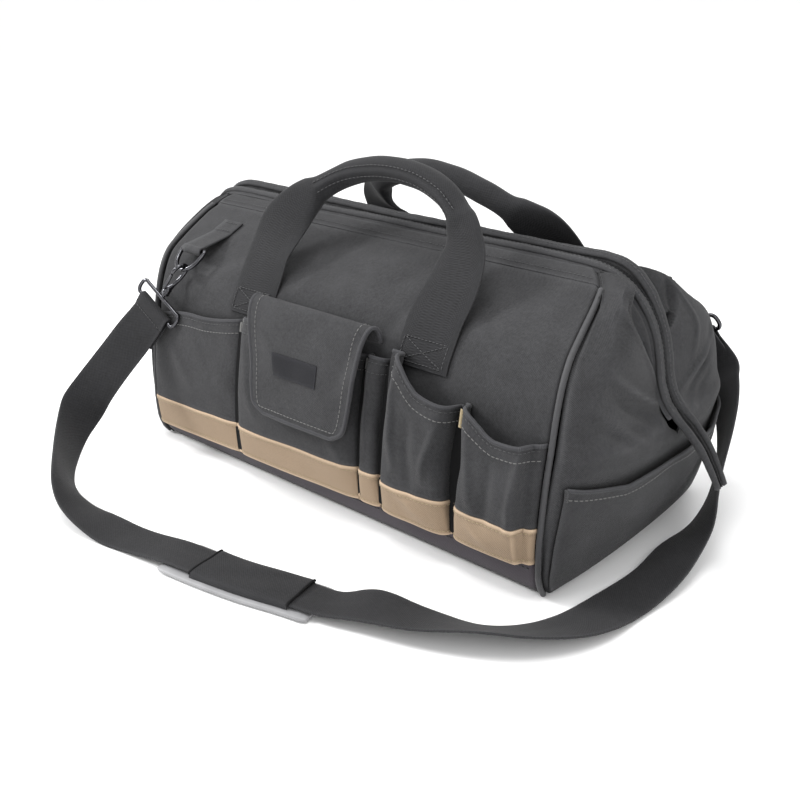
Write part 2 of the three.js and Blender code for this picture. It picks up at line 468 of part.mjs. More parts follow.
// Mouth: two rolled rims with the zip between them, running down both ends to hanging tails.
const mouthT = [];
for (let t = 0; t <= MOUTH.length - 1; t += 0.5) mouthT.push(t);
const mouth = (t) => ({ x: along(MOUTH, t, 'x'), z: along(MOUTH, t, 'z'), y: along(MOUTH, t, 'y'), r: along(MOUTH, t, 'r'), up: along(MOUTH, t, 'up') });
for (const [side, where] of [[-1, 'front'], [1, 'back']]) {
  add(`mouth_rim_${where}`, tube(mouthT.map((t) => {
    const m = mouth(t);
    return { p: V(m.x, side * m.y, m.z + (side > 0 ? m.up : 0)), r: m.r };
  }), 8), CANVAS);
}
add('zip', loft(mouthT.map((t, i) => {
  const m = mouth(t);
  const a = mouth(mouthT[Math.max(i - 1, 0)]), b = mouth(mouthT[Math.min(i + 1, mouthT.length - 1)]);
  const d = V(b.x - a.x, 0, b.z - a.z).normalize();
  return ringOf(V(m.x, 0, m.z), V(0, 1, 0), V(-d.z, 0, d.x), m.y - m.r - GAP, 1.2, 4, 2, Math.PI / 4);
})), PIPE);

// Front pockets: cloth standing off the face, open at the lip, with tan bottoms.
const POCKET_T = [0, 0.035, 0.09, 0.2, 0.35, 0.5, 0.62, 0.72, 0.8, 0.91, 0.965, 1];
function pocketDepth(k, t, r) {
  const side = (1 - Math.abs(2 * t - 1) ** k.q) ** 0.5;
  const gusset = t <= k.fold ? 1 : Math.max(0.18, 1 - ((t - k.fold) / 0.09) * 0.82);
  const fill = 0.25 + 0.75 * Math.sin((Math.min(r / 0.62, 1) * Math.PI) / 2);
  return 2.3 + k.lift * r ** 3 * (1 - t) + k.bulge * side * gusset * fill;
}
function lip(k, t) {
  return t < 0.5 ? k.l0 + (k.lm - k.l0) * Math.sin(t * Math.PI) : k.l1 + (k.lm - k.l1) * Math.sin(t * Math.PI);
}
for (const k of POCKETS) {
  const xOf = (t) => k.x0 + (k.x1 - k.x0) * t;
  const spot = (t, h) => off(-1, xOf(t), h, pocketDepth(k, t, (h - BASE_WRAP) / (lip(k, t) - BASE_WRAP)));
  const cloth = grid(POCKET_T, [0, 0.2, 0.4, 0.6, 0.8, 1], (t, v) => {
    const low = TAN_TOP + GAP + RISE * xOf(t);
    return spot(t, low + (lip(k, t) - low) * v);
  });
  add(k.name, thicken(cloth.points, cloth.tris, 0, -POCKET_CLOTH), CANVAS);
  const tan = grid(POCKET_T, [BASE_WRAP + 1, 40, TAN_TOP], (t, h) => spot(t, h + RISE * xOf(t)));
  add(k.tan, thicken(tan.points, tan.tris, 0, -POCKET_CLOTH), TAN);
}

// Flap over the second pocket.
{
  const T = [0, 0.06, 0.15, 0.3, 0.5, 0.7, 0.85, 0.94, 1];
  const v = FLAP.map((_, i) => i);
  const sheet = grid(T, [...v].reverse(), (t, i) => {
    const k = FLAP[i];
    return off(-1, k.x0 + (k.x1 - k.x0) * t, k.h, k.d);
  });
  add('pocket_flap', thicken(sheet.points, sheet.tris, 1.1, -1.1), CANVAS);
}

// Handles: webbing sewn up the face, rolled round a padded grip at the top.
for (const [table, side, where] of [[HANDLE_FRONT, 1, 'front'], [HANDLE_REAR, -1, 'rear']]) {
  const rows = table.map((r) => {
    if (r.h === undefined) return r;
    const p = off(-1, r.x, r.h, 0.7 + HANDLE_THICK / 2);
    return { ...r, y: p.y, z: p.z };
  });
  const last = rows.length - 1, rings = [];
  const spot = (t) => V(along(rows, t, 'x'), along(rows, t, 'y'), along(rows, t, 'z'));
  for (let i = 0; i <= last * 2; i++) {
    const t = i / 2;
    const d = spot(Math.min(t + 0.1, last)).sub(spot(Math.max(t - 0.1, 0))).normalize();
    const a = V(along(rows, t, 'ax'), 0, along(rows, t, 'az'));
    a.addScaledVector(d, -a.dot(d)).normalize();
    rings.push(ringOf(spot(t), a, d.clone().cross(a), along(rows, t, 'w'), along(rows, t, 't'), 12, along(rows, t, 'n')));
  }
  if (side < 0) rings.forEach((r) => r.forEach((p) => { p.y = -p.y; }));
  add(`handle_${where}`, loft(rings), WEBBING);
}

// Ring, tab, hook, gate and loop at the front left, and again, turned half round, at the back right.
const k = vec(HOOK_AXIS).normalize();
const bar = vec(LOOP_BAR).addScaledVector(k, -vec(LOOP_BAR).dot(k)).normalize();
const outw = V(0, -1, 0).addScaledVector(k, k.y).normalize();
const origin = vec(RING_LOW).addScaledVector(k, -HOOK.wireAt);
const inHook = (m, l, kk) => origin.clone().addScaledVector(outw, m).addScaledVector(k.clone().cross(outw), l).addScaledVector(k, kk);
const ringDown = V(0, -0.734, -0.679).normalize();
const ringTop = vec(RING_LOW).addScaledVector(ringDown, -RING_DROP);
for (const [turn, where] of [[1, 'front'], [-1, 'rear']]) {
  const place = (geo) => (turn < 0 ? geo.clone().rotateZ(Math.PI) : geo);
  // D-ring: straight bar at the top, bow below
  const ring = [];
  for (let i = 0; i < 7; i++) ring.push({ p: ringTop.clone().add(V(-RING_HALF + (i / 6) * 2 * RING_HALF, 0, 0)), r: RING_WIRE });
  for (let i = 1; i < 14; i++) {
    const a = (i / 14) * Math.PI;
    ring.push({
      p: ringTop.clone().add(V(RING_HALF * Math.cos(a), 0, 0)).addScaledVector(ringDown, 1.5 + (RING_DROP - 1.5) * Math.sin(a) ** 0.8),
      r: RING_WIRE,
    });
  }
  add(`d_ring_${where}`, place(tube(ring, 8, true)), METAL);
  // tab: webbing sewn on the slope, looped round the ring's bar
  const eye = V(ringTop.x, ringTop.y, ringTop.z);
  const tabRows = [];
  const R = RING_WIRE + 0.5 + 0.9;
  for (let i = 0; i <= 12; i++) {
    const a = -0.35 * Math.PI + (i / 12) * 1.45 * Math.PI;
    tabRows.push({ y: eye.y - R * Math.sin(a) - 0, z: eye.z - R * Math.cos(a) });
  }
  const foot = [{ h: 199.5, d: 1.6 }, { h: 207, d: 1.6 }, { h: 214, d: 1.6 }].map((q) => off(-1, 0, q.h, q.d));
  const path = [...tabRows.map((q) => V(eye.x, q.y, q.z)), ...foot.map((p) => V(eye.x, p.y, p.z))];
  const rings = path.map((p, i) => {
    const d = path[Math.min(i + 1, path.length - 1)].clone().sub(path[Math.max(i - 1, 0)]).normalize();
    const n = d.clone().cross(V(1, 0, 0)).normalize();
    return [[-1, -1], [1, -1], [1, 1], [-1, 1]].map(([a, b]) => p.clone().add(V((a * TAB_W) / 2, 0, 0)).addScaledVector(n, b * 0.8));
  });
  add(`ring_tab_${where}`, place(loft(rings)), WEBBING);
  // hook: swivel collar, spine and bowl
  const B = HOOK.bowl;
  add(`hook_${where}`, place(tube([
    { p: inHook(0, 0, HOOK.barTop + HOOK.loopWire + 0.5), r: 1.9 }, { p: inHook(0, 0, -27.4), r: 1.9 }, { p: inHook(0, 0, -27), r: HOOK.collar },
    { p: inHook(0, 0, -21.5), r: HOOK.collar }, { p: inHook(-0.6, 0, -20), r: 3.4 }, { p: inHook(-3.4, 0, -16), r: 2.1 },
    { p: inHook(-5.9, 0, -11), r: HOOK.spine }, { p: inHook(-B, 0, -4), r: HOOK.spine }, { p: inHook(-B, 0, 1), r: HOOK.spine },
    { p: inHook(-B * 0.86, 0, 4.6), r: HOOK.spine }, { p: inHook(-B * 0.5, 0, 7.2), r: HOOK.spine }, { p: inHook(0, 0, 8), r: HOOK.spine },
    { p: inHook(B * 0.5, 0, 7.2), r: HOOK.spine }, { p: inHook(B * 0.86, 0, 4.6), r: HOOK.spine }, { p: inHook(B, 0, 1), r: HOOK.spine },
    { p: inHook(B, 0, -1.6), r: 1.5 },
  ], 8)), METAL);
  // gate: lever that closes the bowl
  add(`hook_gate_${where}`, place(tube([
    { p: inHook(6.1, 0, HOOK.pivot - 1.5), r: 1.2 }, { p: inHook(6.2, 0, HOOK.pivot + 2), r: 1.4 },
    { p: inHook(6.9, 0, -8), r: 1.4 }, { p: inHook(B, 0, -3.6), r: 1.4 },
  ], 8)), METAL);
  // loop: oblong ring that carries the strap
  const loop = [];
  const mid = (HOOK.barTop + HOOK.barLow) / 2, half = (HOOK.barTop - HOOK.barLow) / 2, L = HOOK.loopHalf;
  const inLoop = (b, kk) => origin.clone().addScaledVector(bar, b).addScaledVector(k, kk);
  for (let i = 0; i < 4; i++) loop.push({ p: inLoop(-L + 3 + (i / 3) * (2 * L - 6), HOOK.barTop), r: HOOK.loopWire });
  for (let i = 0; i < 4; i++) {
    const a = (i / 3) * Math.PI;
    loop.push({ p: inLoop(L - 3 + 3.4 + 3 * Math.sin(a), mid + (half - 0) * Math.cos(a)), r: HOOK.loopWire });
  }
  for (let i = 0; i < 4; i++) loop.push({ p: inLoop(L - 3 - (i / 3) * (2 * L - 6), HOOK.barLow), r: HOOK.loopWire });
  for (let i = 0; i < 4; i++) {
    const a = (i / 3) * Math.PI;
    loop.push({ p: inLoop(-L + 3 - 3.4 - 3 * Math.sin(a), mid - half * Math.cos(a)), r: HOOK.loopWire });
  }
  add(`hook_loop_${where}`, place(tube(loop, 8, true)), METAL);
}

// Shoulder strap: one length of webbing, sewn back round each loop's lower bar.
const face1 = bar.clone().cross(k).normalize();         // outward side of the front loop
const barLow = origin.clone().addScaledVector(k, HOOK.barLow);
function strapEnd(turn) {
  const rows = [];
  const R = HOOK.loopWire + 0.5 + STRAP_T / 2;
  const put = (n, kk) => {
    const p = barLow.clone().addScaledVector(face1, n).addScaledVector(k, kk);
    const a = bar.clone().negate();
    if (turn < 0) { p.set(-p.x, -p.y, p.z); a.set(-a.x, -a.y, a.z); }
    rows.push({ p, a });
  };
  put(-1.9, -STRAP_TAIL);
  put(-2.2, -STRAP_TAIL / 2);
  put(-2.7, -8);
  for (let i = 0; i <= 6; i++) {
    const q = (i / 6) * Math.PI;
    put(-R * Math.cos(q), R * Math.sin(q));
  }
  put(2.1, -8);
  put(1.7, -14);
  return rows;
}
const strapRows = [];
{
  const first = strapEnd(1), lastEnd = strapEnd(-1).reverse();
  const flipSide = face1.y > 0 ? -1 : 1;
  strapRows.push(...first);
  const steps = (STRAP.length - 1) * 3;
  for (let i = 0; i <= steps; i++) {
    const t = i / 3;
    strapRows.push({
      p: V(along(STRAP, t, 'x'), along(STRAP, t, 'y'), along(STRAP, t, 'z')),
      a: V(along(STRAP, t, 'ax'), along(STRAP, t, 'ay'), along(STRAP, t, 'az')),
    });
  }
  strapRows.push(...lastEnd.map((r) => ({ p: r.p, a: r.a })));
}
function ribbon(rows, w, t0, t1, floor) {
  const n = rows.length;
  return rows.map((r, i) => {
    const d = rows[Math.min(i + 1, n - 1)].p.clone().sub(rows[Math.max(i - 1, 0)].p).normalize();
    const a = r.a.clone().addScaledVector(d, -r.a.dot(d)).normalize();
    const up = a.clone().cross(d).normalize();
    const c = r.p.clone();
    const low = c.z - (w / 2) * Math.abs(a.z);
    if (low < floor) c.z += floor - low;
    return [[-1, t0], [1, t0], [1, t1], [-1, t1]].map(([s, h]) => c.clone().addScaledVector(a, (s * w) / 2).addScaledVector(up, h));
  });
}
add('shoulder_strap', loft(ribbon(strapRows, STRAP_W, -STRAP_T / 2, STRAP_T / 2, STRAP_FLOOR)), WEBBING);

// Pad under the strap, with a sleeve over it.
function padRows(from, to, n, z) {
  const rows = [];
  for (let i = 0; i <= n; i++) {
    const x = from + ((to - from) * i) / n;
    const t0 = 8 + ((x + 24) / 113) * 3;
    const y = along(STRAP, Math.min(Math.max(t0, 0), STRAP.length - 1), 'y');
    rows.push({ p: V(x, y, z), a: V(0.23, -0.97, 0) });
  }
  return rows;
}
add('shoulder_pad', loft(ribbon(padRows(PAD_FROM, PAD_TO, 8, 0.3 + PAD_T / 2), PAD_W, -PAD_T / 2, PAD_T / 2, 0)), RUBBER);
{
  const rows = padRows(SLEEVE_FROM, SLEEVE_TO, 6, 13.2);
  const rings = rows.map((r, i) => {
    const d = rows[Math.min(i + 1, rows.length - 1)].p.clone().sub(rows[Math.max(i - 1, 0)].p).normalize();
    const a = r.a.clone().addScaledVector(d, -r.a.dot(d)).normalize();
    const low = 0.3 + PAD_T + 0.4 - r.p.z;
    const W = 22.6, I = 21.3;
    return [[-W, low], [-I, low], [-I, -0.2], [I, -0.2], [I, low], [W, low], [W, 0.6], [W - 1, 1.1], [-W + 1, 1.1], [-W, 0.6]]
      .map(([s, h]) => r.p.clone().addScaledVector(a, s).add(V(0, 0, h)));
  });
  // profile is not convex, so its two ends are closed with hand-set triangles
  const m = 10, n = rings.length, points = rings.flat(), tris = [];
  for (let j = 0; j < n - 1; j++) for (let i = 0; i < m; i++) {
    const i2 = (i + 1) % m;
    tris.push([j * m + i, j * m + i2, (j + 1) * m + i], [j * m + i2, (j + 1) * m + i2, (j + 1) * m + i]);
  }
  const cap = [[0, 1, 9], [1, 2, 9], [2, 8, 9], [2, 3, 8], [3, 7, 8], [3, 6, 7], [3, 4, 6], [4, 5, 6]];
  for (const [a, b, c] of cap) { tris.push([a, c, b]); tris.push([(n - 1) * m + a, (n - 1) * m + b, (n - 1) * m + c]); }
  let vol = 0;
  for (const [a, b, c] of tris) vol += points[a].dot(points[b].clone().cross(points[c]));
  if (vol < 0) tris.forEach((t) => { const s = t[1]; t[1] = t[2]; t[2] = s; });
  add('pad_sleeve', geometry(points, tris), WEBBING);
}

export default tote;
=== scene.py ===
import math
import bpy
import numpy as np
from mathutils import Euler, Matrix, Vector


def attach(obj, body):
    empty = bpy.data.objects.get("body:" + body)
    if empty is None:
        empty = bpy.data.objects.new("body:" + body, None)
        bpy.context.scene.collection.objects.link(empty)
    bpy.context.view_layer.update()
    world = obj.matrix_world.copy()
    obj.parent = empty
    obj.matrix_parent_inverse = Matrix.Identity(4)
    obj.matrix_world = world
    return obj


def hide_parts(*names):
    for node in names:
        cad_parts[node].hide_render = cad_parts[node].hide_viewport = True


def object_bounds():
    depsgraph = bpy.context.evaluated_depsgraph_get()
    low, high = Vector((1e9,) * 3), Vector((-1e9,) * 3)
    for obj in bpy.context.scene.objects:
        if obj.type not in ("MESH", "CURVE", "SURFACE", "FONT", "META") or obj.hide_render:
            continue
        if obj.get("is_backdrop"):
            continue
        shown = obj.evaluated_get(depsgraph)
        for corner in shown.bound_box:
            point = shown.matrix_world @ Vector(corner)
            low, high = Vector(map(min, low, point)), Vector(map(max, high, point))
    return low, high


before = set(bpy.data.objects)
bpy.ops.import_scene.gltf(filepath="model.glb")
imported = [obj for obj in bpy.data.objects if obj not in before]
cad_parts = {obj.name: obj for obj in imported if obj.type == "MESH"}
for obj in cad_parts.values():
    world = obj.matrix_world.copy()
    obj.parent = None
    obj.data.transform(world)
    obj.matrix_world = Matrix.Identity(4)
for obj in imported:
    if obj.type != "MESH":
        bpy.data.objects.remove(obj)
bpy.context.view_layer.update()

# ------------------------------------------------------------------ camera
cam_data = bpy.data.cameras.new("camera")
cam_data.lens = 46.35
cam_data.sensor_width = 36
cam_data.clip_start, cam_data.clip_end = 0.02, 50
camera = bpy.data.objects.new("camera", cam_data)
camera.location = (0.5707, -0.6734, 0.4367)
camera.rotation_euler = Euler((math.radians(66.9), 0, math.radians(41.1)))
bpy.context.collection.objects.link(camera)
bpy.context.scene.camera = camera

# ------------------------------------------------------------------ shape tables, mm
RISE = 0.035
SEAM_H, RIM_H, BASE_WRAP, TAN_TOP = 217, 223, 24, 54
STRAP_W = 40
PIPING_R = 2.3
RING_WIRE, RING_HALF, RING_DROP, TAB_W = 2.0, 15, 22, 25


def table(cols, rows):
    return {c: np.array([r[i] for r in rows], float) for i, c in enumerate(cols.split())}


LEVELS = table("h yf zf ym xr er br xl el bl ze lr ll pl p", [
    (0, 112, 0, 0, 224, 229, 0, 224, 229, 0, 0, 0, 0, 2, 2),
    (10, 119.5, 10, 0, 225, 236, 0, 225, 236, 0, 10, 0, 0, 2, 2),
    (25, 124, 25, 0, 225, 243, 0, 225, 243, 0, 25, 0, 0, 2, 2),
    (45, 125, 45, 0, 225, 250, 0, 225, 250, 0, 45, 0, 0, 2, 2),
    (70, 123.5, 70, 0, 225, 256, 0, 225, 256, 0, 70, 0, 0, 2, 2.1),
    (90, 121.5, 90, 0, 225, 259, 0, 225, 260, 0, 90, 0, 0, 2, 2.2),
    (108, 119, 108, 0, 225, 263, 0, 225, 264, 0, 106, 0, 0, 2, 2.3),
    (116, 117.5, 116, 12.4, 225, 260, 2, 225, 264, 0, 117, 0, 0, 2, 2.4),
    (125, 116, 125, 12.4, 225, 252.5, 4, 225, 264, 0, 127, 0, 0, 1.9, 2.6),
    (145, 112, 145, 12.4, 224.5, 246, 7, 226, 265, 0, 146, 0, 0, 1.8, 2.8),
    (164, 105, 164, 12.4, 223, 243, 8, 228, 265, 0, 164, 0, 0, 1.7, 2.6),
    (181, 92, 181, 12.4, 220, 238, 11, 232, 264, 0, 181, 2, 1, 1.6, 2.3),
    (195, 70, 194, 12.4, 215, 230.5, 13, 235.5, 258, 2, 195, 6, 3, 1.6, 2.1),
    (208, 43, 208.5, 12.4, 209, 218, 15, 236.5, 248.5, 2, 208.5, 12, 3, 1.7, 2),
    (217, 27, 217.3, 12.4, 204, 206, 9, 233.5, 238.5, 2, 217.6, 8, 3, 2, 2),
    (223, 12.8, 223.6, 12.4, 192, 193, 2, 229.5, 230.5, 2, 223.4, 0, 0, 2, 2),
])
MOUTH = table("x z y r up", [
    (-305.5, 73, 5, 2.4, 0), (-301, 86, 5.6, 2.7, 0), (-294.5, 99, 6.2, 3, 0), (-286, 112, 7, 3.2, 0),
    (-277, 122.5, 7.8, 3.4, 0), (-271, 133.5, 8.2, 3.5, 0), (-269, 147, 8.2, 3.5, 0), (-269, 163, 8.2, 3.5, 0),
    (-267.5, 180, 8.2, 3.5, 0), (-263, 195, 8.2, 3.5, 0), (-254.5, 209.5, 8.2, 3.5, 1), (-244, 220.5, 8.2, 3.5, 2.5),
    (-229, 226.5, 8.2, 3.5, 4), (-200, 227.8, 8.2, 3.5, 5), (-110, 226.8, 8.2, 3.5, 4), (0, 226.6, 8.2, 3.5, 3),
    (90, 226.6, 8.2, 3.5, 3), (160, 226.8, 8.2, 3.5, 3), (190, 225.4, 8.2, 3.5, 4.2), (208, 219.6, 8.2, 3.5, 5.5),
    (222, 209.4, 8.2, 3.5, 4), (233, 196, 8.2, 3.5, 1.5), (240.5, 181.2, 8.2, 3.5, 0), (245, 164.5, 8.2, 3.5, 0),
    (248.5, 147, 8.2, 3.5, 0), (255, 132.5, 8.2, 3.5, 0), (264, 122.5, 7.8, 3.4, 0), (275, 113, 7, 3.2, 0),
    (286, 101, 6.2, 3, 0), (295, 87, 5.6, 2.7, 0), (302, 74, 5, 2.4, 0),
])
# name, tan band, side seams, stand-off, lip heights, squareness, lift of the left lip corner, gusset fold
POCKETS = [
    ("pocket_a", "tan_band_a", -221.5, -100.5, 5.5, 125, 136, 144, 6, 0, 2),
    ("pocket_b", "tan_band_b", -98.5, 50, 12, 147, 150, 147, 8, 0, 2),
    ("pen_sleeve", "tan_band_sleeve", 51.2, 73, 9, 149, 149, 149, 3, 0, 2),
    ("pocket_c", "tan_band_c", 75, 147, 18, 160, 136, 140, 6, 4.5, 2),
    ("pocket_d", "tan_band_d", 149, 221.5, 17, 139, 120, 126, 6, 0, 0.84),
]
# share of the way to the zip at which the right and left wings fold over, by level
FOLD_R = table("h s", [(108, 1.2), (146, 1.03), (167.5, 0.893), (179.5, 0.743), (190, 0.537), (198.5, 0.34), (206, 0.19), (213, 0.1), (223, 0.05)])
FOLD_L = table("h s", [(108, 1.2), (140, 1.03), (160, 0.9), (175, 0.78), (190, 0.62), (200, 0.45), (208, 0.3), (215, 0.2), (223, 0.1)])
FLAP = table("h d x0 x1", [
    (159, 2.2, -66, 59), (164.5, 8, -71, 60), (167, 13, -75, 58), (164.5, 18, -76, 56), (155, 20.5, -74, 54.5),
    (139, 20.5, -70, 53), (118, 20.5, -65, 51), (96, 21, -61, 49), (86, 21.5, -57, 45), (80, 22, -45, 35),
])
# x, level or None, half width, half thickness, squareness, lie of the width, y, z
HANDLE_FRONT = [
    (-95, 150, 25.5, 1, 6, 1, 0, None, None), (-95, 160, 25.5, 1, 6, 1, 0, None, None),
    (-95, 171, 25.5, 1, 6, 1, 0, None, None), (-94, None, 25.5, 1, 6, 1, 0.05, -94, 187),
    (-92, None, 25.5, 1.1, 6, 1, 0.1, -85, 206), (-86, None, 24, 1.8, 5, 0.95, -0.3, -73, 228),
    (-77, None, 18, 5, 3, 0.8, -0.6, -59, 245), (-62, None, 12.5, 11, 2, 0.7, -0.7, -48, 258),
    (-35, None, 12, 12, 2, 0.5, -0.85, -39, 272), (0, None, 12, 12, 2, 0, -1, -37, 279),
    (36, None, 12, 12, 2, -0.2, -0.98, -38, 278), (64, None, 12, 12, 2, -0.5, -0.86, -41, 270),
    (82, None, 12.5, 11, 2, -0.7, -0.7, -46, 258), (95, None, 18, 5, 3, -0.8, -0.6, -54, 243),
    (101, None, 24, 1.8, 5, -0.95, -0.3, -64, 226), (103, None, 25.5, 1.1, 6, -1, -0.1, -79, 206),
    (101, None, 25.5, 1, 6, -1, 0, -93, 187), (101, 171, 25.5, 1, 6, -1, 0, None, None),
    (101, 160, 25.5, 1, 6, -1, 0, None, None), (101, 150, 25.5, 1, 6, -1, 0, None, None),
]
HANDLE_REAR = [
    (-95, 150, 25.5, 1, 6, 1, 0, None, None), (-95, 160, 25.5, 1, 6, 1, 0, None, None),
    (-95, 172, 25.5, 1, 6, 1, 0, None, None), (-95, None, 25.5, 1, 6, 1, 0, -89, 190),
    (-95, None, 25.5, 1.1, 6, 1, 0.1, -77, 207), (-94, None, 24, 1.8, 5, 0.95, -0.2, -63, 223),
    (-87, None, 18, 5, 3, 0.8, -0.6, -51, 238), (-73, None, 12.5, 11, 2, 0.7, -0.7, -42, 250),
    (-48, None, 12, 12, 2, 0.5, -0.85, -36, 260), (-16, None, 12, 12, 2, 0, -1, -33, 266),
    (18, None, 12, 12, 2, -0.2, -0.98, -33, 263.5), (46, None, 12, 12, 2, -0.5, -0.86, -34, 256),
    (70, None, 12.5, 11, 2, -0.7, -0.7, -37, 246), (88, None, 18, 5, 3, -0.75, -0.65, -42, 236),
    (101, None, 24, 1.8, 5, -0.85, -0.4, -50, 226), (107, None, 25.5, 1.1, 6, -1, -0.1, -64, 213),
    (107, None, 25.5, 1, 6, -1, 0, -84, 193), (107, 172, 25.5, 1, 6, -1, 0, None, None),
    (107, 160, 25.5, 1, 6, -1, 0, None, None), (107, 150, 25.5, 1, 6, -1, 0, None, None),
]
STRAP = [
    (-224, -146, 110, -0.82, -0.16, 0.54), (-237, -174, 76, -0.8, -0.2, 0.56), (-243, -196, 50, -0.55, -0.2, 0.8),
    (-228, -222, 34, -0.2, -0.35, 0.9), (-190, -255, 21.5, 0.15, -0.5, 0.83), (-142, -273, 11, 0.17, -0.88, 0.44),
    (-98, -271, 2.6, 0.1, -0.99, 0.05), (-62, -266, 2.8, 0.14, -0.99, 0.03), (-24, -261, 6.6, 0.18, -0.98, 0.03),
    (10, -256, 7.4, 0.21, -0.97, 0.04), (50, -249, 7.4, 0.23, -0.97, 0.04), (89, -239, 7.4, 0.25, -0.96, 0.04),
    (120, -231, 7.2, 0.29, -0.94, 0.08), (147, -220, 12, 0.42, -0.91, 0), (182, -209, 11.5, 0.54, -0.82, 0.2),
    (220, -192, 11.5, 0.6, -0.66, 0.45), (249, -167, 9.6, 0.78, -0.51, 0.36), (268, -131, 6, 0.91, -0.37, 0.18),
    (274, -88, 2.6, 0.99, -0.14, 0.06), (279, -42, 6, 0.98, 0.04, 0.21), (277, -2, 12, 0.94, -0.1, 0.32),
    (274.5, 41, 22, 0.62, -0.5, 0.6), (267.5, 77, 44.5, 0.38, -0.48, 0.79), (254, 112, 82, 0.5, -0.35, 0.79),
    (234, 133, 112, 0.75, -0.1, 0.65),
]
HOOK = dict(wireAt=3.3, bowl=7.8, spine=1.8, collar=4.2, pivot=-19, barTop=-32.5, barLow=-46, loopHalf=24, loopWire=1.8)


# ------------------------------------------------------------------ helpers
def at(rows, key, k, col):
    xs, ys = rows[key], rows[col]
    k = np.asarray(k, float)
    d = np.diff(ys) / np.diff(xs)
    m = np.zeros(len(xs))
    m[0], m[-1] = d[0], d[-1]
    l, r = d[:-1], d[1:]
    good = l * r > 0
    m[1:-1] = np.where(good, 2 * l * r / np.where(good, l + r, 1), 0)
    i = np.clip(np.searchsorted(xs, k, side="left") - 1, 0, len(xs) - 2)
    w = xs[i + 1] - xs[i]
    u = np.clip((k - xs[i]) / w, 0, 1)
    return ((2 * u**3 - 3 * u**2 + 1) * ys[i] + (u**3 - 2 * u**2 + u) * m[i] * w
            + (3 * u**2 - 2 * u**3) * ys[i + 1] + (u**3 - u**2) * m[i + 1] * w)


def along(ys, t):
    """Catmull-Rom through a list of numbers or points at row positions t."""
    ys = np.asarray(ys, float)
    t = np.asarray(t, float)
    n = len(ys) - 1
    i = np.clip(np.floor(t).astype(int), 0, n - 1)
    u = t - i
    if ys.ndim == 2:
        u = u[..., None]
    p1, p2 = ys[i], ys[i + 1]
    a, b = ys[np.maximum(i - 1, 0)], ys[np.minimum(i + 2, n)]
    e1, e2 = (i > 0), (i < n - 1)
    if ys.ndim == 2:
        e1, e2 = e1[..., None], e2[..., None]
    m1 = np.where(e1, (p2 - a) / 2, p2 - p1)
    m2 = np.where(e2, (b - p1) / 2, p2 - p1)
    return ((2 * u**3 - 3 * u**2 + 1) * p1 + (u**3 - 2 * u**2 + u) * m1
            + (3 * u**2 - 2 * u**3) * p2 + (u**3 - u**2) * m2)


def unit(v):
    v = np.asarray(v, float)
    return v / np.maximum(np.linalg.norm(v, axis=-1, keepdims=True), 1e-9)


def vec3(x, y, z):
    x, y, z = np.broadcast_arrays(np.asarray(x, float), np.asarray(y, float), np.asarray(z, float))
    return np.stack([x, y, z], -1)


def smooth(a, b, x):
    u = np.clip((np.asarray(x, float) - a) / (b - a), 0, 1)
    return u * u * (3 - 2 * u)


def ridge(x, y, x0, y0, x1, y1, width, height, sharp=1.0):
    """A fold's height along the line from one point to the other, fading at both ends."""
    dx, dy = x1 - x0, y1 - y0
    L = math.hypot(dx, dy)
    u = ((x - x0) * dx + (y - y0) * dy) / L**2
    v = ((x - x0) * dy - (y - y0) * dx) / L
    fade = np.clip(np.sin(np.clip(u, 0, 1) * math.pi), 0, 1) ** 0.7
    return height * fade * np.exp(-(np.abs(v) / width) ** (2 * sharp))


def waves(x, y, seed, size, amount, n=7):
    """Soft unevenness of cloth: a few sine waves of set directions."""
    rng = np.random.RandomState(seed)
    out = 0
    for _ in range(n):
        a, f, p = rng.uniform(0, math.pi), rng.uniform(0.6, 1.6) / size, rng.uniform(0, 6.28)
        out = out + np.sin((x * math.cos(a) + y * math.sin(a)) * 2 * math.pi * f + p)
    return amount * out / n**0.5


def make(name, points, faces, mat, uvs=None, body="bag", slot=None, nodes=(), sharp=50):
    mesh = bpy.data.meshes.new(name)
    points = np.asarray(points, float) / 1000
    mesh.from_pydata(points.tolist(), [], [list(map(int, f)) for f in faces])
    if uvs is not None:
        layer = mesh.uv_layers.new(name="cloth")
        idx = np.empty(len(mesh.loops), dtype=np.int32)
        mesh.loops.foreach_get("vertex_index", idx)
        layer.data.foreach_set("uv", (np.asarray(uvs, float) / 1000)[idx].astype(np.float32).ravel())
    mesh.validate()
    mesh.shade_smooth()
    if sharp:
        mesh.set_sharp_from_angle(angle=math.radians(sharp))
    mesh.materials.append(mat)
    obj = bpy.data.objects.new(name, mesh)
    bpy.context.collection.objects.link(obj)
    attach(obj, body)
    if nodes:
        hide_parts(*nodes)
    return obj


def grid_faces(nv, nu, flip=False, close_u=False):
    j, i = np.meshgrid(np.arange(nv - 1), np.arange(nu if close_u else nu - 1), indexing="ij")
    a = j * nu + i
    b = j * nu + (i + 1) % nu
    c, d = a + nu, b + nu
    f = np.stack([a, b, d, c] if not flip else [a, c, d, b], -1)
    return f.reshape(-1, 4)


def normals(points, faces):
    n = np.zeros_like(points)
    f = np.asarray(faces)
    cr = np.cross(points[f[:, 2]] - points[f[:, 0]], points[f[:, 3]] - points[f[:, 1]])
    for k in range(4):
        np.add.at(n, f[:, k], cr)
    return unit(n)


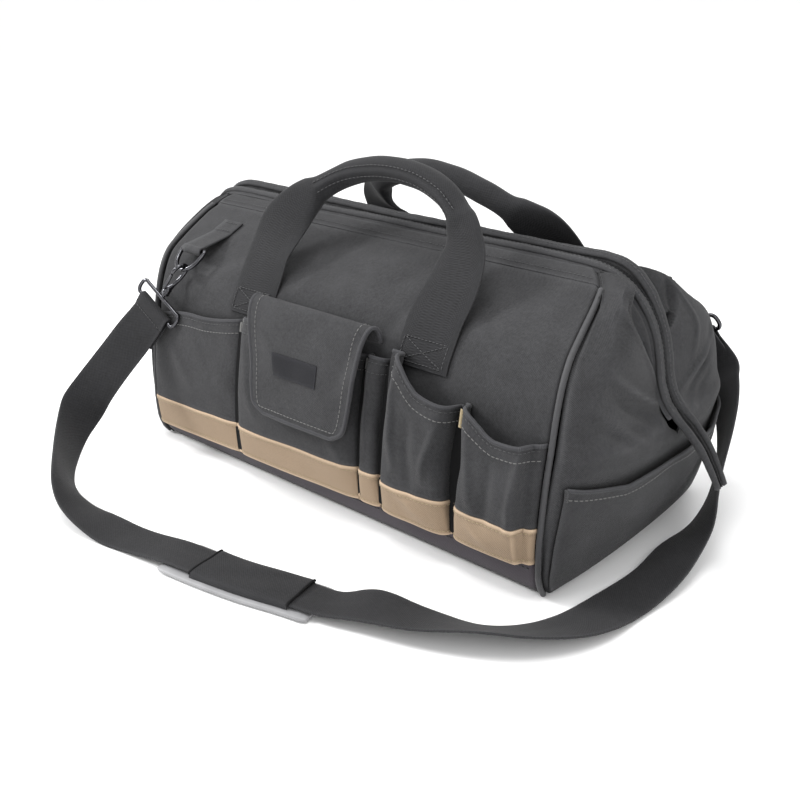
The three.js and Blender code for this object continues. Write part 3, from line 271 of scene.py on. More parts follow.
def thicken(points, faces, out, inn, uvs=None):
    """Closed cloth from an open sheet of four-sided faces, with a rounded free edge."""
    n = normals(points, faces)
    N = len(points)
    f = np.asarray(faces)
    e = np.concatenate([f[:, [k, (k + 1) % 4]] for k in range(4)])
    key = {(int(a), int(b)) for a, b in e}
    rim = [(a, b) for a, b in key if (b, a) not in key]
    # outward direction along the sheet at its free edge
    push = np.zeros_like(points)
    for a, b in rim:
        d = np.cross(points[b] - points[a], n[a])
        push[a] += d
        push[b] += d
    push = unit(push)
    mid = sorted({a for p in rim for a in p})
    where = {a: 2 * N + i for i, a in enumerate(mid)}
    half = abs(out - inn) / 2
    midp = points[mid] + n[mid] * (out + inn) / 2 + push[mid] * half * 0.55
    P = np.concatenate([points + n * out, points + n * inn, midp])
    F = [*f.tolist(), *(f[:, ::-1] + N).tolist()]
    for a, b in rim:
        F.append([b, a, where[a], where[b]])
        F.append([where[b], where[a], a + N, b + N])
    U = None
    if uvs is not None:
        U = np.concatenate([uvs, uvs, np.asarray(uvs)[mid]])
    return P, F, U


def merge(parts):
    """Joins several (points, faces, uvs) into one."""
    P, F, U, k = [], [], [], 0
    for p, f, u in parts:
        P.append(p)
        F.extend([[q + k for q in g] for g in np.asarray(f, dtype=object).tolist()] if not isinstance(f, list) else [[q + k for q in g] for g in f])
        U.append(u if u is not None else np.zeros((len(p), 2)))
        k += len(p)
    return np.concatenate(P), F, np.concatenate(U)


def frames(path, hint=None, closed=False):
    path = np.asarray(path, float)
    if closed:
        d = np.roll(path, -1, 0) - np.roll(path, 1, 0)
    else:
        d = np.gradient(path, axis=0)
    d = unit(d)
    side = np.zeros_like(path)
    s = np.array(hint if hint is not None else ([1, 0, 0] if abs(d[0][2]) > 0.9 else [0, 0, 1]), float)
    for i in range(len(path)):
        s = s - d[i] * (s @ d[i])
        s = s / max(np.linalg.norm(s), 1e-9)
        side[i] = s
    return d, side, np.cross(d, side)


def tube(path, r, sides=12, closed=False, hint=None, flat=1.0, r2=None):
    """Points, faces and uvs of a round rod along a path, capped at both ends."""
    path = np.asarray(path, float)
    n = len(path)
    r = np.broadcast_to(np.asarray(r, float), (n,))
    r2 = r * flat if r2 is None else np.broadcast_to(np.asarray(r2, float), (n,))
    d, e1, e2 = frames(path, hint, closed)
    a = np.arange(sides) / sides * 2 * math.pi
    P = path[:, None] + e1[:, None] * (r[:, None, None] * np.cos(a)[None, :, None]) + e2[:, None] * (r2[:, None, None] * np.sin(a)[None, :, None])
    P = P.reshape(-1, 3)
    L = np.concatenate([[0], np.cumsum(np.linalg.norm(np.diff(path, axis=0), axis=1))])
    U = np.stack([np.repeat(L, sides), np.tile(np.arange(sides) * (2 * math.pi * float(r.mean()) / sides), n)], -1)
    F = grid_faces(n, sides, close_u=True).tolist()
    if closed:
        base = (n - 1) * sides
        F += [[base + i, base + (i + 1) % sides, (i + 1) % sides, i] for i in range(sides)]
    else:
        k = len(P)
        P = np.concatenate([P, [path[0] - d[0] * r[0] * 0.5, path[-1] + d[-1] * r[-1] * 0.5]])
        U = np.concatenate([U, [[0, 0], [L[-1], 0]]])
        b = (n - 1) * sides
        F += [[(i + 1) % sides, i, k] for i in range(sides)]
        F += [[b + i, b + (i + 1) % sides, k + 1] for i in range(sides)]
    return P, F, U


def loft(rings, uvs=None):
    rings = np.asarray(rings, float)
    n, m = rings.shape[:2]
    P = rings.reshape(-1, 3)
    c = rings.mean(1)
    L = np.concatenate([[0], np.cumsum(np.linalg.norm(np.diff(c, axis=0), axis=1))])
    G = np.concatenate([[0], np.cumsum(np.linalg.norm(np.diff(rings[n // 2], axis=0), axis=1))])
    U = np.stack([np.repeat(L, m), np.tile(G, n)], -1) if uvs is None else uvs
    F = grid_faces(n, m, close_u=True).tolist()
    P = np.concatenate([P, [c[0], c[-1]]])
    U = np.concatenate([U, [[0, 0], [L[-1], 0]]])
    k, b = n * m, (n - 1) * m
    F += [[(i + 1) % m, i, k] for i in range(m)]
    F += [[b + i, b + (i + 1) % m, k + 1] for i in range(m)]
    T = P[:-2].reshape(n, m, 3)
    vol = 0.0
    for j in range(0, n - 1):
        a1, a2, b1 = T[j], np.roll(T[j], -1, 0), T[j + 1]
        vol += float(np.einsum("ij,ij->i", a1 - c[j], np.cross(a2 - c[j], b1 - c[j])).sum())
    if vol < 0:
        F = [g[::-1] for g in F]
    return P, F, U


def resample(path, step):
    path = np.asarray(path, float)
    L = np.concatenate([[0], np.cumsum(np.linalg.norm(np.diff(path, axis=0), axis=1))])
    n = max(2, int(round(L[-1] / step)) + 1)
    s = np.linspace(0, L[-1], n)
    return np.stack([np.interp(s, L, path[:, k]) for k in range(3)], -1), s


THREAD = {"light": [], "tan": [], "dark": []}


def stitch(path, out, kind="light", pitch=4.2, long=3.0, r=0.42, lift=0.15):
    """A row of sewn stitches along a path; out is the outward direction, one or per point."""
    path = np.asarray(path, float)
    out = np.broadcast_to(np.asarray(out, float), path.shape)
    L = np.concatenate([[0], np.cumsum(np.linalg.norm(np.diff(path, axis=0), axis=1))])
    if L[-1] < long:
        return
    n = int(L[-1] // pitch)
    rest = (L[-1] - n * pitch) / 2
    for i in range(n):
        s0 = rest + i * pitch + (pitch - long) / 2
        s = s0 + np.array([0, 0.12, 0.35, 0.65, 0.88, 1]) * long
        c = np.stack([np.interp(s, L, path[:, k]) for k in range(3)], -1)
        o = unit(np.stack([np.interp(s, L, out[:, k]) for k in range(3)], -1))
        c = c + o * (lift + np.array([-0.75, -0.1, 0.12, 0.12, -0.1, -0.75])[:, None] * r * 1.3)
        THREAD[kind].append(tube(c, np.array([0.5, 0.85, 1, 1, 0.85, 0.5]) * r, 6, hint=o[0]))


def bar_tack(c, long_dir, out, length=9, width=2.6, kind="tan"):
    """Dense satin bar of thread."""
    c, out = np.asarray(c, float), unit(out)
    e = unit(np.asarray(long_dir, float) - out * (np.asarray(long_dir, float) @ out))
    f = np.cross(out, e)
    n = int(length / 0.75)
    for i in range(n):
        q = c + e * ((i + 0.5) / n - 0.5) * length
        s = np.array([-1, -0.7, 0, 0.7, 1]) * width / 2
        p = q + f * s[:, None] + e * (s * 0.12)[:, None] + out * (np.array([-0.3, 0.25, 0.45, 0.25, -0.3]))[:, None]
        THREAD[kind].append(tube(p, 0.42, 6, hint=out))


# ------------------------------------------------------------------ materials
def nodes_of(name):
    mat = bpy.data.materials.new(name)
    mat.use_nodes = True
    t = mat.node_tree
    return mat, t, t.nodes["Principled BSDF"]


def link(t, a, ai, b, bi):
    t.links.new(a.outputs[ai], b.inputs[bi])


def add_node(t, kind, **values):
    n = t.nodes.new(kind)
    for k, v in values.items():
        if k.startswith("_"):
            n.inputs[k[1:].replace("_", " ")].default_value = v
        else:
            setattr(n, k, v)
    return n


def mathn(t, op, a, b=None):
    n = t.nodes.new("ShaderNodeMath")
    n.operation = op
    for i, q in enumerate([a, b]):
        if q is None:
            continue
        if isinstance(q, (int, float)):
            n.inputs[i].default_value = q
        else:
            t.links.new(q, n.inputs[i])
    return n.outputs[0]


def cloth(name, dark, light, kind="weave", pitch=1.15, rough=0.9, sheen=0.25, bump=0.5, depth=0.0004, mottle=0.35, wear=0.25, spec=0.25, crease_shade=0.12):
    """Woven cloth: yarns from the sheet's own coordinates, mottling, worn edges, and painted shade darkening the colour
    in folds and seams.
    """
    mat, t, bsdf = nodes_of(name)
    uv = add_node(t, "ShaderNodeTexCoord")
    k = 0.31416 / (pitch / 1000)
    wx = add_node(t, "ShaderNodeTexWave", wave_type="BANDS", bands_direction="X", wave_profile="SIN", _Scale=k, _Distortion=0.35, _Detail=1.0, _Detail_Scale=1.5)
    wy = add_node(t, "ShaderNodeTexWave", wave_type="BANDS", bands_direction="Y", wave_profile="SIN", _Scale=k * (1 if kind == "weave" else 0.42), _Distortion=0.35, _Detail=1.0, _Detail_Scale=1.5)
    link(t, uv, "UV", wx, "Vector")
    link(t, uv, "UV", wy, "Vector")
    fine = add_node(t, "ShaderNodeTexNoise", _Scale=420.0, _Detail=5.0, _Roughness=0.7)
    soft = add_node(t, "ShaderNodeTexNoise", _Scale=38.0, _Detail=4.0, _Roughness=0.6)
    link(t, uv, "Object", fine, "Vector")
    link(t, uv, "Object", soft, "Vector")
    if kind == "rib":
        for w_ in (wx, wy):
            w_.inputs["Distortion"].default_value = 1.6
            w_.inputs["Detail Scale"].default_value = 2.5
    if kind == "weave":
        a = mathn(t, "SUBTRACT", wx.outputs["Fac"], 0.5)
        b = mathn(t, "SUBTRACT", wy.outputs["Fac"], 0.5)
        yarn = mathn(t, "ADD", mathn(t, "MULTIPLY", mathn(t, "MULTIPLY", a, b), 2.0), 0.5)
    else:
        yarn = mathn(t, "ADD", mathn(t, "MULTIPLY", wx.outputs["Fac"], 0.75), mathn(t, "MULTIPLY", wy.outputs["Fac"], 0.25))
    height = mathn(t, "ADD", mathn(t, "MULTIPLY", yarn, 0.6), mathn(t, "MULTIPLY", fine.outputs["Fac"], 0.6))
    bmp = add_node(t, "ShaderNodeBump", _Strength=bump, _Distance=depth)
    t.links.new(height, bmp.inputs["Height"])
    link(t, bmp, "Normal", bsdf, "Normal")
    ramp = add_node(t, "ShaderNodeValToRGB")
    ramp.color_ramp.elements[0].position, ramp.color_ramp.elements[1].position = 0.25, 0.8
    ramp.color_ramp.elements[0].color = (*dark, 1)
    ramp.color_ramp.elements[1].color = (*light, 1)
    tone = mathn(t, "ADD", mathn(t, "MULTIPLY", yarn, 1 - mottle), mathn(t, "MULTIPLY", mathn(t, "ADD", mathn(t, "MULTIPLY", fine.outputs["Fac"], 0.6), mathn(t, "MULTIPLY", soft.outputs["Fac"], 0.4)), mottle * 1.05))
    t.links.new(tone, ramp.inputs["Fac"])
    geo = add_node(t, "ShaderNodeNewGeometry")
    worn = add_node(t, "ShaderNodeValToRGB")
    worn.color_ramp.elements[0].position, worn.color_ramp.elements[1].position = 0.505, 0.58
    link(t, geo, "Pointiness", worn, "Fac")
    mix = add_node(t, "ShaderNodeMix", data_type="RGBA", blend_type="MIX")
    t.links.new(mathn(t, "MULTIPLY", worn.outputs["Color"], wear), mix.inputs[0])
    t.links.new(ramp.outputs["Color"], mix.inputs[6])
    mix.inputs[7].default_value = (*[min(1, c * 1.8 + 0.02) for c in light], 1)
    # painted shade: ambient occlusion darkens the cloth's colour at the bottom of folds, seams and gaps between parts,
    # standing in for the shade there
    ao = add_node(t, "ShaderNodeAmbientOcclusion", samples=8, _Distance=0.016)
    painted_shade_ramp = add_node(t, "ShaderNodeValToRGB")
    painted_shade_ramp.color_ramp.elements[0].position, painted_shade_ramp.color_ramp.elements[1].position = 0.18, 0.72
    painted_shade_ramp.color_ramp.elements[0].color = (crease_shade, crease_shade, crease_shade, 1)
    painted_shade_ramp.color_ramp.elements[1].color = (1, 1, 1, 1)
    link(t, ao, "AO", painted_shade_ramp, "Fac")
    painted_shade_mix = add_node(t, "ShaderNodeMix", data_type="RGBA", blend_type="MULTIPLY")
    painted_shade_mix.inputs[0].default_value = 1.0
    t.links.new(mix.outputs[2], painted_shade_mix.inputs[6])
    link(t, painted_shade_ramp, "Color", painted_shade_mix, 7)
    t.links.new(painted_shade_mix.outputs[2], bsdf.inputs["Base Color"])
    r = mathn(t, "ADD", mathn(t, "MULTIPLY", soft.outputs["Fac"], 0.14), rough - 0.07)
    t.links.new(r, bsdf.inputs["Roughness"])
    bsdf.inputs["Sheen Weight"].default_value = sheen
    bsdf.inputs["Sheen Roughness"].default_value = 0.45
    bsdf.inputs["Specular IOR Level"].default_value = spec
    return mat


CANVAS = cloth("canvas_black", (0.008, 0.008, 0.0088), (0.066, 0.066, 0.0695), pitch=1.3, sheen=0.08, bump=1.0, depth=0.0006, mottle=0.68)
WEB = cloth("webbing_ribbed", (0.0065, 0.0065, 0.007), (0.031, 0.031, 0.0335), kind="weave", pitch=2.1, sheen=0.08, bump=0.8, depth=0.0004, mottle=0.68)
TAN = cloth("tan_cloth", (0.2, 0.145, 0.096), (0.385, 0.288, 0.2), pitch=1.3, sheen=0.05, bump=0.6, wear=0.75, crease_shade=0.3)
BASE = cloth("base_cloth", (0.022, 0.017, 0.023), (0.055, 0.045, 0.056), pitch=1.5, rough=0.7, sheen=0.08, bump=0.4, spec=0.35)
PIPE = cloth("piping_cloth", (0.01, 0.01, 0.011), (0.06, 0.06, 0.064), pitch=0.9, rough=0.55, sheen=0.1, bump=0.35, spec=0.4)
ZIPC = cloth("zip_tape", (0.002, 0.002, 0.0025), (0.009, 0.009, 0.01), kind="rib", pitch=0.9, rough=0.75, sheen=0.02, bump=0.5)
PATCH = cloth("patch_weave", (0.004, 0.004, 0.0055), (0.014, 0.014, 0.018), pitch=0.7, rough=0.75, sheen=0.05, bump=0.5)
# painted shade: near-black cloth for pieces that stand in for shade in the pocket gaps and at the sleeve's ends
SHADE_CLOTH = cloth("painted_shade_cloth", (0.0015, 0.0015, 0.0018), (0.006, 0.006, 0.0066), pitch=1.3, sheen=0.02, bump=0.5)
BIND = cloth("binding_tape", (0.01, 0.01, 0.011), (0.06, 0.06, 0.065), kind="rib", pitch=0.9, sheen=0.1, bump=0.6)


def thread(name, a, b):
    mat, t, bsdf = nodes_of(name)
    uv = add_node(t, "ShaderNodeTexCoord")
    w = add_node(t, "ShaderNodeTexWave", wave_type="BANDS", bands_direction="DIAGONAL", _Scale=700.0, _Distortion=0.4)
    link(t, uv, "UV", w, "Vector")
    ramp = add_node(t, "ShaderNodeValToRGB")
    ramp.color_ramp.elements[0].color, ramp.color_ramp.elements[1].color = (*a, 1), (*b, 1)
    link(t, w, "Fac", ramp, "Fac")
    link(t, ramp, "Color", bsdf, "Base Color")
    bmp = add_node(t, "ShaderNodeBump", _Strength=0.5, _Distance=0.0002)
    link(t, w, "Fac", bmp, "Height")
    link(t, bmp, "Normal", bsdf, "Normal")
    bsdf.inputs["Roughness"].default_value = 0.6
    bsdf.inputs["Sheen Weight"].default_value = 0.2
    return mat


T_LIGHT = thread("thread_grey", (0.08, 0.08, 0.08), (0.2, 0.197, 0.188))
T_TAN = thread("thread_tan", (0.2, 0.15, 0.07), (0.5, 0.4, 0.24))
T_DARK = thread("thread_dark", (0.012, 0.012, 0.013), (0.05, 0.05, 0.054))


def metal_mat():
    mat, t, bsdf = nodes_of("dark_nickel")
    uv = add_node(t, "ShaderNodeTexCoord")
    n1 = add_node(t, "ShaderNodeTexNoise", _Scale=220.0, _Detail=4.0, _Roughness=0.6)
    n2 = add_node(t, "ShaderNodeTexNoise", _Scale=1400.0, _Detail=3.0, _Roughness=0.6)
    link(t, uv, "Object", n1, "Vector")
    link(t, uv, "Object", n2, "Vector")
    ramp = add_node(t, "ShaderNodeValToRGB")
    ramp.color_ramp.elements[0].color = (0.03, 0.03, 0.033, 1)
    ramp.color_ramp.elements[1].color = (0.13, 0.13, 0.14, 1)
    link(t, n1, "Fac", ramp, "Fac")
    link(t, ramp, "Color", bsdf, "Base Color")
    r = mathn(t, "ADD", mathn(t, "MULTIPLY", n1.outputs["Fac"], 0.2), 0.06)
    t.links.new(r, bsdf.inputs["Roughness"])
    bmp = add_node(t, "ShaderNodeBump", _Strength=0.15, _Distance=0.0001)
    link(t, n2, "Fac", bmp, "Height")
    link(t, bmp, "Normal", bsdf, "Normal")
    bsdf.inputs["Metallic"].default_value = 1.0
    return mat


def rubber_mat():
    mat, t, bsdf = nodes_of("grey_rubber")
    uv = add_node(t, "ShaderNodeTexCoord")
    n1 = add_node(t, "ShaderNodeTexNoise", _Scale=500.0, _Detail=4.0, _Roughness=0.6)
    n2 = add_node(t, "ShaderNodeTexNoise", _Scale=30.0, _Detail=3.0, _Roughness=0.6)
    link(t, uv, "Object", n1, "Vector")
    link(t, uv, "Object", n2, "Vector")
    ramp = add_node(t, "ShaderNodeValToRGB")
    ramp.color_ramp.elements[0].color = (0.15, 0.15, 0.155, 1)
    ramp.color_ramp.elements[1].color = (0.4, 0.4, 0.41, 1)
    link(t, n2, "Fac", ramp, "Fac")
    link(t, ramp, "Color", bsdf, "Base Color")
    r = mathn(t, "ADD", mathn(t, "MULTIPLY", n2.outputs["Fac"], 0.2), 0.35)
    t.links.new(r, bsdf.inputs["Roughness"])
    bmp = add_node(t, "ShaderNodeBump", _Strength=0.35, _Distance=0.0003)
    link(t, n1, "Fac", bmp, "Height")
    link(t, bmp, "Normal", bsdf, "Normal")
    return mat


METAL, RUBBER = metal_mat(), rubber_mat()


# ------------------------------------------------------------------ surfaces of the body
def level(h, col):
    return at(LEVELS, "h", h, col)


def reach(u, h):
    return np.where(np.asarray(u) < 0, level(h, "xl"), level(h, "xr"))


def face_out(side, h):
    y = level(h + 1.5, "yf") - level(h - 1.5, "yf")
    z = level(h + 1.5, "zf") - level(h - 1.5, "zf")
    return unit(vec3(0, side * z, -y))


def relief(side, x, h):
    """Folds and unevenness of the big faces: only where no pocket lies on them."""
    x, h = np.broadcast_arrays(np.asarray(x, float), np.asarray(h, float))
    edge = reach(x, h) - np.abs(x)
    d = -3.4 * np.exp(-((edge - 2.0) / 2.3) ** 2)
    free = smooth(150, 168, h) if side < 0 else smooth(30, 60, h)
    top = 1 - smooth(208, 216, h)
    d = d + free * top * waves(x, h, 11 if side < 0 else 12, 85, 0.55)
    if side < 0:
        d = d + ridge(x, h, 118, 205, 205, 176, 6, 1.8) * free + ridge(x, h, 125, 190, 190, 160, 5, 1.3) * free
        d = d - ridge(x, h, 80, 208, 55, 165, 7, 1.8) * free - ridge(x, h, -70, 208, -52, 178, 6, 1.5) * free
        d = d + ridge(x, h, -125, 208, -215, 190, 7, 1.6) * free - ridge(x, h, -118, 196, -205, 165, 7, 1.8) * free
        d = d + ridge(x, h, -40, 206, 40, 200, 5, 1.2) * free
    else:
        for a in [(-210, 190, -120, 60, 12, 2.6), (-150, 200, -60, 90, 14, -2.2), (200, 195, 110, 70, 12, 2.4),
                  (150, 205, 60, 110, 12, -2.2), (-200, 45, -60, 75, 10, 1.8), (190, 40, 40, 70, 10, -1.8),
                  (-80, 205, 0, 120, 11, 1.8)]:
            d = d + ridge(x, h, *a[:4], a[4], a[5]) * free
    return d


def off(side, x, h, d):
    n = face_out(side, np.maximum(h, 3))
    dd = np.asarray(d + relief(side, x, h), float)
    return vec3(x, side * level(h, "yf"), level(h, "zf")) + n * dd[..., None]


def face(side, u, h):
    x = reach(u, h) * u
    n = face_out(side, np.maximum(h, 3))
    return vec3(x, side * level(h, "yf"), level(h, "zf")) + n * relief(side, x, h)[..., None]


def end_base(sx, sy, s, h):
    e = "l" if sx < 0 else "r"
    p = level(h, "pl" if sx < 0 else "p")
    xp, xe = level(h, "x" + e), level(h, "e" + e)
    bow = (1 - (1 - np.clip(s, 0, 1)) ** p) ** (1 / p)
    yf = level(h, "yf")
    ym = np.where(h <= 108, 0, np.minimum(level(h, "ym"), 12.4))
    puff = np.sin(math.pi * np.minimum(s, 1) ** 0.85)
    if sx > 0:
        puff = np.where(sy > 0, puff * (1 - 0.34 * smooth(172, 192, h)), puff * (1 - 0.75 * smooth(168, 188, h) * (1 - smooth(0.02, 0.24, s))))
    z = level(h, "zf") + (level(h, "ze") - level(h, "zf")) * s + puff * level(h, "l" + e)
    return vec3(sx * (xp + (xe - xp) * bow + puff * level(h, "b" + e)), sy * (yf + (ym - yf) * s), z)


def end_relief(sx, sy, s, h):
    """Wings beside the zip end in a crisp fold with a sunk channel behind it; the lower part has soft folds."""
    sy = np.broadcast_to(np.asarray(sy, float), np.broadcast(s, h).shape)
    s, h = np.broadcast_arrays(np.asarray(s, float), np.asarray(h, float))
    e = "l" if sx < 0 else "r"
    run = np.linalg.norm(end_base(sx, 1, s, h) - end_base(sx, 1, 0 * s, h), axis=-1)
    d = -3.4 * np.exp(-((run - 2.6) / 2.1) ** 2) * (1 - smooth(208, 216, h))
    upper = smooth(122, 150, h) * (1 - smooth(198, 210, h))
    sf = at(FOLD_R if sx > 0 else FOLD_L, "h", h, "s")
    sf = np.where(sy > 0, np.minimum(sf + 0.22, 1.2), sf)
    deep = np.where(sy < 0, 12.5, 8.5) if sx > 0 else np.where(sy < 0, 6.5, 8.0)
    valley = smooth(sf, sf + 0.045 + 0.12 * smooth(184, 200, h), s) * (1 - 0.45 * smooth(sf + 0.05, 0.8, s)) * (1 - smooth(0.9, 0.998, s))
    d = d + upper * (1.3 * np.exp(-((s - sf + 0.02) / 0.035) ** 2) * (sy < 0) - deep * valley)
    y = sy * (1 - s) * 110
    w = smooth(0, 0.12, s) * (1 - 0.0 * s)
    low = smooth(30, 60, h) * (1 - smooth(106, 118, h))
    d = d + w * smooth(98, 108, h) * waves(y, h, 31 if sx > 0 else 32, 60, 0.5)
    for k, (y0, h0, y1, h1, wd, ht) in enumerate([
            (-88, 124, -20, 104, 5, 2.4), (-70, 136, -24, 116, 4, -1.8), (88, 122, 20, 104, 5, 2.2), (66, 138, 24, 116, 4, -1.8),
            (-60, 112, -8, 100, 4, -1.5), (52, 111, 8, 100, 4, -1.4)]):
        d = d + w * ridge(y, h, y0, h0, y1, h1, wd, ht)
    if sx > 0:
        for (y0, h0, y1, h1, wd, ht) in [(58, 205, 30, 150, 4, 1.8), (78, 175, 45, 135, 5, -1.6), (-86, 174, 2, 127, 3.2, 4.2), (-84, 163, -6, 118, 4.5, -3.6),
                                         (-104, 158, -30, 112, 4, 2.0), (86, 170, 2, 126, 3.4, 3.6), (80, 158, 8, 117, 4.5, -2.6), (-100, 146, -40, 108, 4, -2.0)]:
            d = d + w * ridge(y, h, y0, h0, y1, h1, wd, ht)
    else:
        for (y0, h0, y1, h1, wd, ht) in [(-62, 205, -48, 160, 4, -2.6), (-80, 180, -60, 140, 6, 1.6), (60, 200, 45, 150, 5, -2.0), (-40, 190, -30, 140, 5, 1.5)]:
            d = d + w * ridge(y, h, y0, h0, y1, h1, wd, ht)
    return d


def end_normal(sx, sy, s, h):
    a = end_base(sx, sy, np.minimum(s + 0.01, 1), h) - end_base(sx, sy, np.maximum(s - 0.01, 0.001), h)
    b = end_base(sx, sy, s, h + 1.5) - end_base(sx, sy, s, h - 1.5)
    n = unit(np.cross(a, b))
    flip = np.where(n[..., 0] * sx < 0, -1.0, 1.0)
    return n * flip[..., None]


def end(sx, sy, s, h, d=0.0):
    s, h = np.broadcast_arrays(np.asarray(s, float), np.asarray(h, float))
    n = end_normal(sx, sy, s, h)
    mid = (s > 0.985) & (h < 110)
    n = np.where(mid[..., None], unit(n * np.array([1, 0, 1])), n)
    return end_base(sx, sy, s, h) + n * (end_relief(sx, sy, s, h) + d)[..., None]


def end_start(h):
    return 0.0008 + 0 * np.asarray(h, float)


# ------------------------------------------------------------------ panels and top bands
def uv_grid(P):
    """Arc-length coordinates of a grid of points, rows first."""
    du = np.linalg.norm(np.diff(P, axis=1), axis=2)
    dv = np.linalg.norm(np.diff(P, axis=0), axis=2)
    U = np.concatenate([np.zeros((P.shape[0], 1)), np.cumsum(du, 1)], 1)
    Vv = np.concatenate([np.zeros((1, P.shape[1])), np.cumsum(dv, 0)], 0)
    return np.stack([U, Vv], -1).reshape(-1, 2)


def sheet(name, P, mat, out, inn, flip, **kw):
    nv, nu = P.shape[:2]
    pts, f, U = thicken(P.reshape(-1, 3), grid_faces(nv, nu, flip), out, inn, uv_grid(P))
    return make(name, pts, f, mat, U, **kw)


for side, where in [(-1, "front"), (1, "back")]:
    v = np.linspace(0, 1, 104 if side < 0 else 60)[:, None]
    u = np.linspace(-1, 1, 211 if side < 0 else 121)[None, :]
    lo = BASE_WRAP + 1.2 + RISE * 225 * u
    h = lo + (SEAM_H - 0.4 - lo) * v
    uu = u * (1 - (PIPING_R + 0.5) / reach(u, h))
    sheet(f"{where}_panel_cloth", face(side, uu, h), CANVAS, 0, -2.4, side > 0, slot="canvas", nodes=[f"{where}_panel"])
    hh = np.linspace(SEAM_H - 0.3, RIM_H, 9)[:, None]
    uu = u * (1 - 0.8 / reach(u, hh))
    P = face(side, uu, hh)
    P = P + face_out(side, hh + 0 * u) * (0.9 * np.sin(np.clip((hh + 0 * u - SEAM_H) / 6, 0, 1) * math.pi)[..., None] + 0.5)
    sheet(f"top_band_{where}_cloth", P, CANVAS, 0.5, -1.9, side > 0, slot="canvas", nodes=[f"top_band_{where}"])
    x = np.linspace(-228, 196, 240)
    for hq, k in [(SEAM_H + 1.6, "dark")]:
        stitch(off(side, x, np.full_like(x, hq), 1.7), face_out(side, np.full_like(x, hq)), k, pitch=3.6, long=2.6, r=0.38)

# base cloth, turned up at the front and back
rows = [(-1, h) for h in [24, 22.6, 20, 16, 12, 9, 7, 5, 3.6, 2.6]] + [(0, y) for y in np.linspace(-108, 108, 31)] \
    + [(1, h) for h in [2.6, 3.6, 5, 7, 9, 12, 16, 20, 22.6, 24]]
u = np.linspace(-1, 1, 151)
P = []
for side, q in rows:
    if side:
        r = RISE * 225 * u * (q - 8) / (BASE_WRAP - 8) if q >= 8 else 0 * u
        h = q + r
        uu = u * (1 - (PIPING_R + 0.7) / reach(u, h))
        hem = 0.9 * math.exp(-((q - 22) / 2.5) ** 2)
        P.append(face(side, uu, h) + face_out(side, h) * hem)
    else:
        s = max(1 - abs(q) / 112, 0)
        lip = end_base(1, 1, np.array(s), np.array(0.0))[0] - 4
        P.append(vec3(u * min(lip, 225), q, 0.45 + 0.2 * np.sin(u * 40)))
sheet("base_cloth_panel", np.array(P), BASE, 0, -2.2, True, slot="base_cloth", nodes=["base_panel"])
for side in (-1, 1):
    x = np.linspace(-219, 219, 200)
    h = 20.5 + RISE * x * 0.8
    stitch(off(side, x, h, 0.7), face_out(side, h), "dark", pitch=4, long=2.8)

